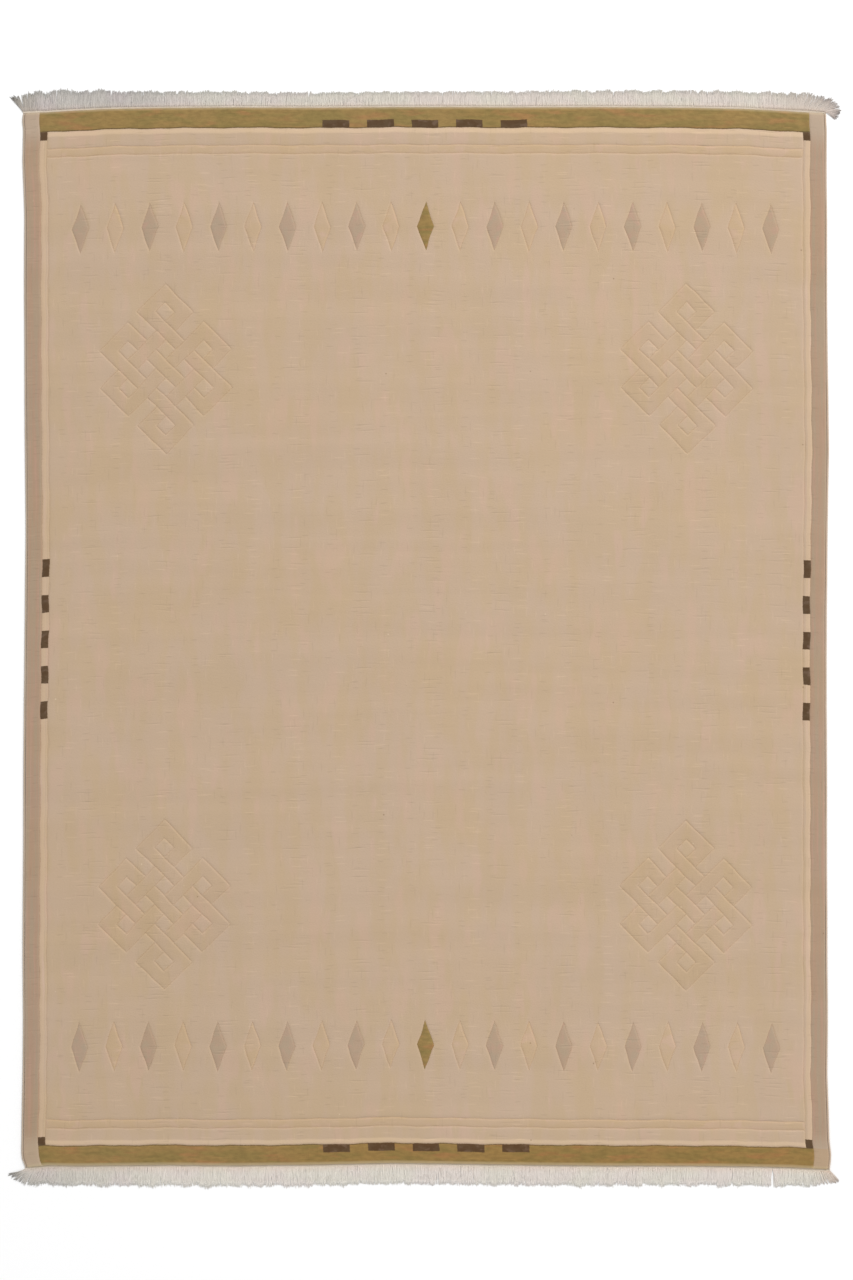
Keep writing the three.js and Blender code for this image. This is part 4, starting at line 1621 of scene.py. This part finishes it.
@dataclass(frozen=True, kw_only=True)
class WoolPile(Finish):
    """Cut pile of hand-spun wool: matt, with uneven dye, faint weft-wise streaks, slubs and a soft sheen."""

    plan: DyePlan
    name: str = "cut_wool_pile"
    roughness: float = 0.95
    specular: float = 0.12
    sheen: float = 0.22
    sheen_roughness: float = 0.55
    sheen_tint: str = "#FFF4E2"
    slub_cell: float = 70 * MM
    slub_size: Span = (3.6 * MM, 1.7 * MM)
    # Painted highlight inside the carved lines, and a faint painted shade at their bottom.
    painted_lip_highlight: Ramp = Ramp(0.0, 0.3, 1.0, 1.06)
    painted_keel_shade: Ramp = Ramp(0.4, 1.0, 1.0, 0.985)
    ribbon_tint: str = "#FAF6EC"
    ribbon_share: float = 0.5
    bump: float = 0.55
    relief: float = 1.6 * MM

    def _painted_light_and_band_ends(self, nodes: Nodes, colour: Socket) -> Socket:
        """Paints light on the pile, and pales both ends of the side bands.

        A painted highlight runs along the field just inside the end bands, beside their carved line. The rim
        all round is painted lighter against the shade that falls on it, most of all on the left and at the
        near end.

        Args:
            nodes: Node tree in the making.
            colour: Colour of the yarns.

        Returns:
            The paled colour.
        """
        s = self.plan.sizes
        folded = nodes.add("VectorMath", SIZE, (nodes.place,))
        across = nodes.add("SeparateXYZ", {}, (folded,))
        along = across.node.outputs[1]
        off = nodes.add("Math", MINUS, (along, s.end_line - 11 * MM))
        off = nodes.add("Math", SIZE, (off,))
        in_guard = Ramp(s.guard_line + MM, s.guard_line - MM)
        in_side = Ramp(s.side_line - MM, s.side_line + MM)
        painted_halo = Ramp(10 * MM, 3 * MM, 0.0, 0.5)
        side_ends = Ramp(s.half_length - 130 * MM, s.half_length - 50 * MM, 0.0, 0.8)
        # The first tone is a painted highlight beside the end bands' carved line; the second pales the side
        # bands' ends.
        for width, (length, lengthwise), tone in (
            (in_guard, (off, painted_halo), "#D8BD9E"),
            (in_side, (along, side_ends), "#B3A08C"),
        ):
            share = nodes.add("MapRange", EASED, (across, *width))
            near = nodes.add("MapRange", EASED, (length, *lengthwise))
            share = nodes.add("Math", TIMES, (share, near))
            colour = nodes.add("Mix", BLEND, {SHARE: share, FIRST: colour, SECOND: linear(tone)}, BLENDED)
        half_width, half_length = s.pile_half_width, s.half_length
        # Painted light: the rim is lightened against the shade the lamp leaves on it, most on the left and at
        # the near end.
        for place, rim, tone in (
            (nodes.across, Ramp(8 * MM - half_width, -half_width, 0.0, 0.85), "#B7A18E"),
            (nodes.across, Ramp(half_width - 6 * MM, half_width, 0.0, 0.45), "#B7A18E"),
            (nodes.along, Ramp(12 * MM - half_length, -half_length, 0.0, 0.9), "#C6B698"),
            (nodes.along, Ramp(half_length - 9 * MM, half_length, 0.0, 0.4), "#C4B496"),
        ):
            share = nodes.add("MapRange", {}, (place, *rim))
            colour = nodes.add("Mix", BLEND, {SHARE: share, FIRST: colour, SECOND: linear(tone)}, BLENDED)
        return colour

    def _uneven(self, nodes: Nodes, colour: Socket) -> Socket:
        """Lets the yarn vary: wide clouds of tint, a browner near end, bands of abrash and fibre grain.

        The near band is browner towards its right end, and the rug is darker towards its left side, which is
        painted shade.

        Args:
            nodes: Node tree in the making.
            colour: Even colour of the yarns.

        Returns:
            The uneven colour.
        """
        end = self.plan.sizes.end_line
        cloudy = Mottle(420, 300, 2.0).clouds(nodes)
        cloudy = nodes.add("MapRange", EASED, (cloudy, *Ramp(0.36, 0.66, 0.0, 0.3)))
        near = nodes.add("MapRange", EASED, (nodes.along, *Ramp(MM - end, -end)))
        right = nodes.add("MapRange", {}, (nodes.across, *Ramp(-1.3, 0.2, 0.2, 1.0)))
        near = nodes.add("Math", TIMES, (near, right))
        for share, tint in ((cloudy, "#FFFBEA"), (near, "#FFF7EB")):
            colour = nodes.add("Mix", TINT, {SHARE: share, FIRST: colour, SECOND: linear(tint)}, BLENDED)
        return nodes.shaded(
            colour,
            # Painted shade: the rug darkens towards its left side.
            (nodes.across, Ramp(-1.5, 0.6, 0.96, 1.0)),
            (Mottle(1500, 70, 3.0).clouds(nodes), Ramp(0.3, 0.7, 0.98, 1.015)),
            (Mottle(120, 1400, 2.0).clouds(nodes), Ramp(0.3, 0.7, 0.99, 1.01)),
            (Mottle(3.4, 3.0, 2.0).clouds(nodes), Ramp(0.25, 0.75, 0.982, 1.017)),
        )

    def _streaked(self, nodes: Nodes, colour: Socket) -> Socket:
        """Draws short streaks where the yarn is thick or thin: a few along a row of knots, fewer across it.
        The first two layers are a dark streak with a light one just beside it: painted shade and a painted
        highlight on a raised row of knots.

        Each layer has one long thin oval somewhere in every cell. A chance drawn for the cell sets how
        strongly it shows, so most are faint and a few are plain.

        Args:
            nodes: Node tree in the making.
            colour: Colour to draw on.

        Returns:
            The streaked colour.
        """
        for streak in STREAKS:
            moved = nodes.add("VectorMath", PLUS, (nodes.place, streak.shift))
            scale = (1 / (streak.across * MM), 1 / (streak.along * MM), 1.0)
            cell = nodes.add("VectorMath", TIMES, (moved, scale))
            oval = nodes.add("TexVoronoi", {"voronoi_dimensions": "2D"}, {"Vector": cell, "Scale": 1.0})
            chance = nodes.add("SeparateXYZ", {}, (oval.node.outputs[1],))
            strength = nodes.add("MapRange", EASED, (chance, *Ramp(0.42, 0.04)))
            inside = nodes.add("MapRange", EASED, (oval, *Ramp(0.18, 0.07)))
            share = nodes.add("Math", TIMES, (inside, strength))
            shade = nodes.add("MapRange", {}, (share, *Ramp(0.0, 1.0, 1.0, streak.shade)))
            colour = nodes.add("VectorMath", SCALED, {0: colour, "Scale": shade})
        return colour

    def _slubs(self, nodes: Nodes, colour: Socket) -> Socket:
        """Adds darker and lighter tufts where the yarn is thick: a disc of each in one cell in eight.

        Args:
            nodes: Node tree in the making.
            colour: Colour to draw on.

        Returns:
            The colour with its slubs.
        """
        scale = 1 / self.slub_cell
        disc = Ramp(*(size * scale for size in self.slub_size))
        dots = nodes.add("TexVoronoi", {}, {"Vector": nodes.place, "Scale": scale, "Randomness": 1.0})
        dark = nodes.add("SeparateXYZ", {}, (dots.node.outputs[1],))
        near = nodes.add("MapRange", EASED, (dots, *disc))
        for chance, picks, tone in (
            (dark, Ramp(0.13, 0.11, 0.0, 0.55), "#7D6248"),
            (dark.node.outputs[1], Ramp(0.14, 0.12, 0.0, 0.35), "#E6D2B6"),
        ):
            picked = nodes.add("MapRange", {}, (chance, *picks))
            share = nodes.add("Math", TIMES, (near, picked))
            colour = nodes.add("Mix", BLEND, {SHARE: share, FIRST: colour, SECOND: linear(tone)}, BLENDED)
        return colour

    def _carved(self, nodes: Nodes, colour: Socket) -> Socket:
        """Paints a highlight into the carved lines, from their shoulders inwards, against the shade in the
        grooves, with a faint painted shade at their bottom, and tints the knots' ribbon.

        Args:
            nodes: Node tree in the making.
            colour: Colour of the yarns.

        Returns:
            The colour with its carving.
        """
        cut = nodes.add("Attribute", {"attribute_name": "carved"}, out=2)
        ribbon = nodes.add("Attribute", {"attribute_name": "ribbon"}, out=2)
        # Painted highlight on the groove walls, and a faint painted shade at the groove's bottom.
        colour = nodes.shaded(colour, (cut, self.painted_lip_highlight), (cut, self.painted_keel_shade))
        share = nodes.add("Math", TIMES, (ribbon, self.ribbon_share))
        tinted = {SHARE: share, FIRST: colour, SECOND: linear(self.ribbon_tint)}
        return nodes.add("Mix", TINT, tinted, BLENDED)

    def surface(self, nodes: Nodes) -> tuple[Any, Socket | None]:
        """Colour of the pile, and knot-sized clouds and rows, as coarse as they need to show.

        Args:
            nodes: Node tree in the making.

        Returns:
            The colour and the height.
        """
        # Cut ends of wool scatter the light: no gloss, soft bloom at low angles, and colours meet in a blur.
        colour = self._uneven(nodes, self._painted_light_and_band_ends(nodes, self.plan.dyed(nodes)))
        colour = self._carved(nodes, self._slubs(nodes, self._streaked(nodes, colour)))
        tufts, rows = Mottle(7, 5, 3.0).clouds(nodes), Mottle(70, 13, 2.0).clouds(nodes)
        return colour, nodes.add("Math", {"operation": "MULTIPLY_ADD"}, (rows, 0.5, tufts))


@dataclass(frozen=True, kw_only=True)
class KnottedBack(Finish):
    """Back of the cloth: flat rows of knot loops in the same yarns, with the cotton weft between them."""

    plan: DyePlan
    name: str = "knotted_wool_back"
    knot: float = 3.3 * MM
    weft: str = "#D2C6B2"
    bump: float = 0.7
    relief: float = 0.8 * MM

    def surface(self, nodes: Nodes) -> tuple[Any, Socket | None]:
        """Colour of the back, and its knots: a product of two waves, half a turn to a knot each way.

        Args:
            nodes: Node tree in the making.

        Returns:
            The colour and the height.
        """
        # Loops pulled tight about the warps give the same pattern as small beads, greyed by the weft.
        turns = nodes.add("VectorMath", SCALED, {0: nodes.place, "Scale": math.pi / self.knot})
        wave = nodes.add("VectorMath", {"operation": "SINE"}, (turns,))
        wave = nodes.add("VectorMath", SIZE, (wave,))
        across = nodes.add("SeparateXYZ", {}, (wave,))
        loops = nodes.add("Math", TIMES, (across, across.node.outputs[1]))
        weft = nodes.add("MapRange", EASED, (loops, *Ramp(0.02, 0.2, 0.55, 0.0)))
        layers = {SHARE: weft, FIRST: self.plan.dyed(nodes), SECOND: linear(self.weft)}
        return nodes.add("Mix", BLEND, layers, BLENDED), loops


@dataclass(frozen=True, kw_only=True)
class TwistedYarn(Finish):
    """Yarn in two tones that drift into each other, with the relief of its fine threads."""

    tones: tuple[str, str]
    patches: Mottle
    threads: Mottle
    hollows: Ramp | None = None

    def surface(self, nodes: Nodes) -> tuple[Any, Socket | None]:
        """Colour of the yarn, darker in the hollows between its threads where they are given, and threads.

        Args:
            nodes: Node tree in the making.

        Returns:
            The colour and the height.
        """
        drift = nodes.add("MapRange", EASED, (self.patches.clouds(nodes), *Ramp(0.35, 0.65)))
        first, second = (linear(tone) for tone in self.tones)
        colour = nodes.add("Mix", BLEND, {SHARE: drift, FIRST: first, SECOND: second}, BLENDED)
        threads = self.threads.clouds(nodes)
        if self.hollows:
            colour = nodes.shaded(colour, (threads, self.hollows))
        return colour, threads


@dataclass(frozen=True, kw_only=True)
class OvercastYarn(TwistedYarn):
    """Wool yarn wound tight over a side cord: greyer than the pile, matt, with shadow between its turns."""

    # Tight turns of plied yarn show as fine slanting ribs with a dull, slightly dusty look.
    patches: Mottle = Mottle(400, 120, 2.0)
    threads: Mottle = Mottle(2.0, 1.1, 2.0)
    roughness: float = 0.95
    specular: float = 0.12
    sheen: float = 0.15
    bump: float = 0.5
    relief: float = 0.5 * MM
    hollows: Ramp | None = Ramp(0.25, 0.75, 0.9, 1.08)


@dataclass(frozen=True, kw_only=True)
class CottonHeading(TwistedYarn):
    """Plain-woven undyed cotton: warm cream, greyer in dirty patches."""

    # Hard-spun cotton in a dense plain weave is smoother than the pile and catches more light.
    name: str = "woven_cotton_heading"
    tones: tuple[str, str] = ("#DACDBC", "#CFC1AE")
    patches: Mottle = Mottle(60, 8, 2.0)
    threads: Mottle = Mottle(1.2, 1.2, 2.0)
    specular: float = 0.2
    bump: float = 0.4
    relief: float = 0.4 * MM


class FringeTint(NamedTuple):
    """Tint over part of the fringe: metres right of the middle where it is untinted and fully tinted, and its
    tint.
    """

    clean: float
    fully_tinted: float
    tint: str


@dataclass(frozen=True, kw_only=True)
class CottonWarp(Finish):
    """Loose ends of plied cotton warp: off-white and matt, in tones for their root, middle and frayed tip."""

    tones: tuple[str, str, str]
    fringe_tints: tuple[FringeTint, ...]
    casts: tuple[str, str] = ("#FFFCFC", "#FDFEFA")
    shades: Ramp = Ramp(-12.0, 2.0, 0.42, 1.05)
    sheen: float = 0.1

    def surface(self, nodes: Nodes) -> tuple[Any, Socket | None]:
        """Colour of the warp ends: a rosy and a mossy cast come and go along the fringe.

        Args:
            nodes: Node tree in the making.

        Returns:
            The colour and no height.
        """
        # Brushed-out plied cotton is near white and matt, so the mat reads as one soft pale edge.
        root, middle, tip = self.tones
        colour: Any = linear(root)
        for outwards, tone in ((Ramp(0.05, 0.45), middle), (Ramp(0.7, 1.0), tip)):
            share = nodes.add("MapRange", EASED, (nodes.along, *outwards))
            colour = nodes.add("Mix", BLEND, {SHARE: share, FIRST: colour, SECOND: linear(tone)}, BLENDED)
        shade = nodes.add("Attribute", {"attribute_name": "shade"}, out=2)
        shade = nodes.add("MapRange", {}, (shade, *self.shades))
        colour = nodes.add("VectorMath", SCALED, {0: colour, "Scale": shade})
        cast = nodes.add("MapRange", EASED, (Mottle(150, 2000).clouds(nodes), *Ramp(0.4, 0.6)))
        rosy, mossy = (linear(tint) for tint in self.casts)
        cast = nodes.add("Mix", BLEND, {SHARE: cast, FIRST: rosy, SECOND: mossy}, BLENDED)
        colour = nodes.add("VectorMath", TIMES, (colour, cast))
        for darkening in self.fringe_tints:
            share = nodes.add("MapRange", EASED, (nodes.across, darkening.clean, darkening.fully_tinted))
            colour = nodes.add("Mix", TINT, {SHARE: share, FIRST: colour, SECOND: linear(darkening.tint)}, BLENDED)
        return colour, None


@dataclass(frozen=True, kw_only=True)
class FloorPaint(Finish):
    """Matt white paint of the studio's floor."""

    name: str = "matt_white_floor"
    specular: float = 0.5

    def surface(self, nodes: Nodes) -> tuple[Any, Socket | None]:
        """One colour all over, and no relief."""
        return linear("#FAFAFA"), None


@dataclass
class Studio:
    """Plain white floor, soft light that comes a little more from the far right, and the camera above."""

    loom: Loom
    picture: tuple[int, int] = (853, 1280)
    pixel: float = 3.355 * MM
    view_middle: Span = (2.9 * MM, -10.9 * MM)
    lens: float = 100.0
    sensor: float = 36.0
    clip_end: float = 100.0
    floor_size: float = 60.0
    floor_drop: float = 0.1 * MM
    sky: float = 0.80
    key: float = 1777.0
    key_size: float = 4.0
    key_place: tuple[float, float, float] = (7.5, 12.0, 14.0)

    def floor(self) -> None:
        """Lays the floor, a little under the rug."""
        half = self.floor_size / 2
        mesh = bpy.data.meshes.new("floor")
        corners = [(-half, -half, 0.0), (half, -half, 0.0), (half, half, 0.0), (-half, half, 0.0)]
        mesh.from_pydata(corners, [], [(0, 1, 2, 3)])
        floor = bpy.data.objects.new("floor", mesh)
        floor.location.z = -self.floor_drop
        bpy.context.scene.collection.objects.link(floor)
        mesh.materials.append(FloorPaint().make())

    def lights(self) -> None:
        """Sets an even white sky and one wide, distant lamp that looks at the rug's middle."""
        world = bpy.data.worlds.new("studio")
        world.use_nodes = True
        nodes = Nodes(world.node_tree)
        light = nodes.add("Background", {}, {"Color": linear("#FFFFFF"), "Strength": self.sky})
        nodes.add("OutputWorld", {}, {"Surface": light})
        bpy.context.scene.world = world
        lamp = bpy.data.lights.new("wide_lamp", "AREA")
        lamp.size = self.key_size
        lamp.energy = self.key
        holder = bpy.data.objects.new("wide_lamp", lamp)
        holder.location = self.key_place
        holder.rotation_euler = Vector(self.key_place).to_track_quat("Z", "Y").to_euler()
        bpy.context.scene.collection.objects.link(holder)

    def camera(self) -> None:
        """Hangs the camera straight above, so far up that the long side of its view is the picture's."""
        long_side = max(self.picture) * self.pixel
        data = bpy.data.cameras.new("overhead")
        data.lens, data.sensor_width, data.clip_end = self.lens, self.sensor, self.clip_end
        camera = bpy.data.objects.new("overhead", data)
        height = long_side * self.lens / self.sensor
        x, y = np.array(self.view_middle) + self.loom.offset
        camera.location = (x, y, self.loom.sizes.pile_height + height)
        bpy.context.scene.collection.objects.link(camera)
        bpy.context.scene.camera = camera

    def build(self) -> None:
        """Sets up the whole stage."""
        self.floor()
        self.lights()
        self.camera()
        bpy.context.scene.view_settings.view_transform = "Standard"


def dress(piece: Piece, slot: str, node: str, *finishes: bpy.types.Material) -> Piece:
    """Gives a piece its finishes and its place in the frame.

    Args:
        piece: The piece.
        slot: The record's material slot for the piece; not used.
        node: The frame's node that it stands for.
        finishes: Its materials, in the order of its mesh's slots.

    Returns:
        The same piece.
    """
    for material in finishes:
        piece.data.materials.append(material)
    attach(piece, ROOT_BODY)
    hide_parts(node)
    LOG.info("%s: %d faces", piece.name, len(piece.data.polygons))
    return piece


# Lit and shaded copies of one overcast yarn: the left cord's darker tones are painted shade, the same falloff
# to the left as on the pile.
SIDE_TONES_WITH_PAINTED_LIGHT = (
    (Side.LEFT, ("#B3A28F", "#B9A896")),
    (Side.RIGHT, ("#BEA892", "#C5B09C")),
)
# Tints that grey the fringe: the wide ones that darken it towards the left are painted shade, the same
# falloff to the left as on the pile, with a cooler cast; the short ones tint it near the corners.
FAR_FRINGE_TINTS = (
    FringeTint(0.2, -1.2, "#F2F4F7"),
    FringeTint(-0.8, -0.95, "#F1F0F3"),
    FringeTint(-1.28, -1.33, "#ECEAE5"),
    FringeTint(1.1, 1.28, "#F6F0F1"),
)
NEAR_FRINGE_TINTS = (FringeTint(-0.75, -1.35, "#ECECED"), FringeTint(1.28, 1.35, "#F6EDE6"))
# Lit and shaded copies of one cotton: the near end's tips are painted lighter against the shade they fall in,
# facing away from the lamp, and the far end's tips are painted greyer as shade.
WARP_TONES_WITH_PAINTED_LIGHT = (
    (End.FAR, ("#E8DCD0", "#E1D9D0", "#CAC5BD"), FAR_FRINGE_TINTS),
    (End.NEAR, ("#E8DBCF", "#ECE5DD", "#FDF8F2"), NEAR_FRINGE_TINTS),
)


def main() -> None:
    """Builds the rug piece by piece around the frame."""
    logging.basicConfig(level=logging.INFO, format="%(message)s")
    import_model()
    sizes = RugSizes()
    loom = Loom(sizes)
    carving = Carving(sizes)
    Studio(loom).build()

    plan = DyePlan(sizes, carving)
    cloth = KnottedCloth(sizes, loom, carving).build()
    dress(cloth, "wool_pile", "rug_pile", WoolPile(plan=plan).make(), KnottedBack(plan=plan).make())

    for side, tones in SIDE_TONES_WITH_PAINTED_LIGHT:
        label = side.name.lower()
        yarn = OvercastYarn(name=f"overcast_wool_yarn_{label}", tones=tones)
        cord = OvercastSide(sizes, loom, side).build()
        dress(cord, "wool_overcast", f"selvedge_{label}", yarn.make())
    heading = CottonHeading().make()
    for end, tones, fringe_tints in WARP_TONES_WITH_PAINTED_LIGHT:
        fringe = WarpFringe(sizes, loom, end)
        warp = CottonWarp(name=f"cotton_warp_ends_{fringe.label}", tones=tones, fringe_tints=fringe_tints)
        node = f"fringe_{fringe.label}"
        dress(fringe.heading(), "cotton_warp", node, heading)
        dress(fringe.fringe(), "cotton_warp", node, warp.make())


if __name__ == "__main__":
    main()
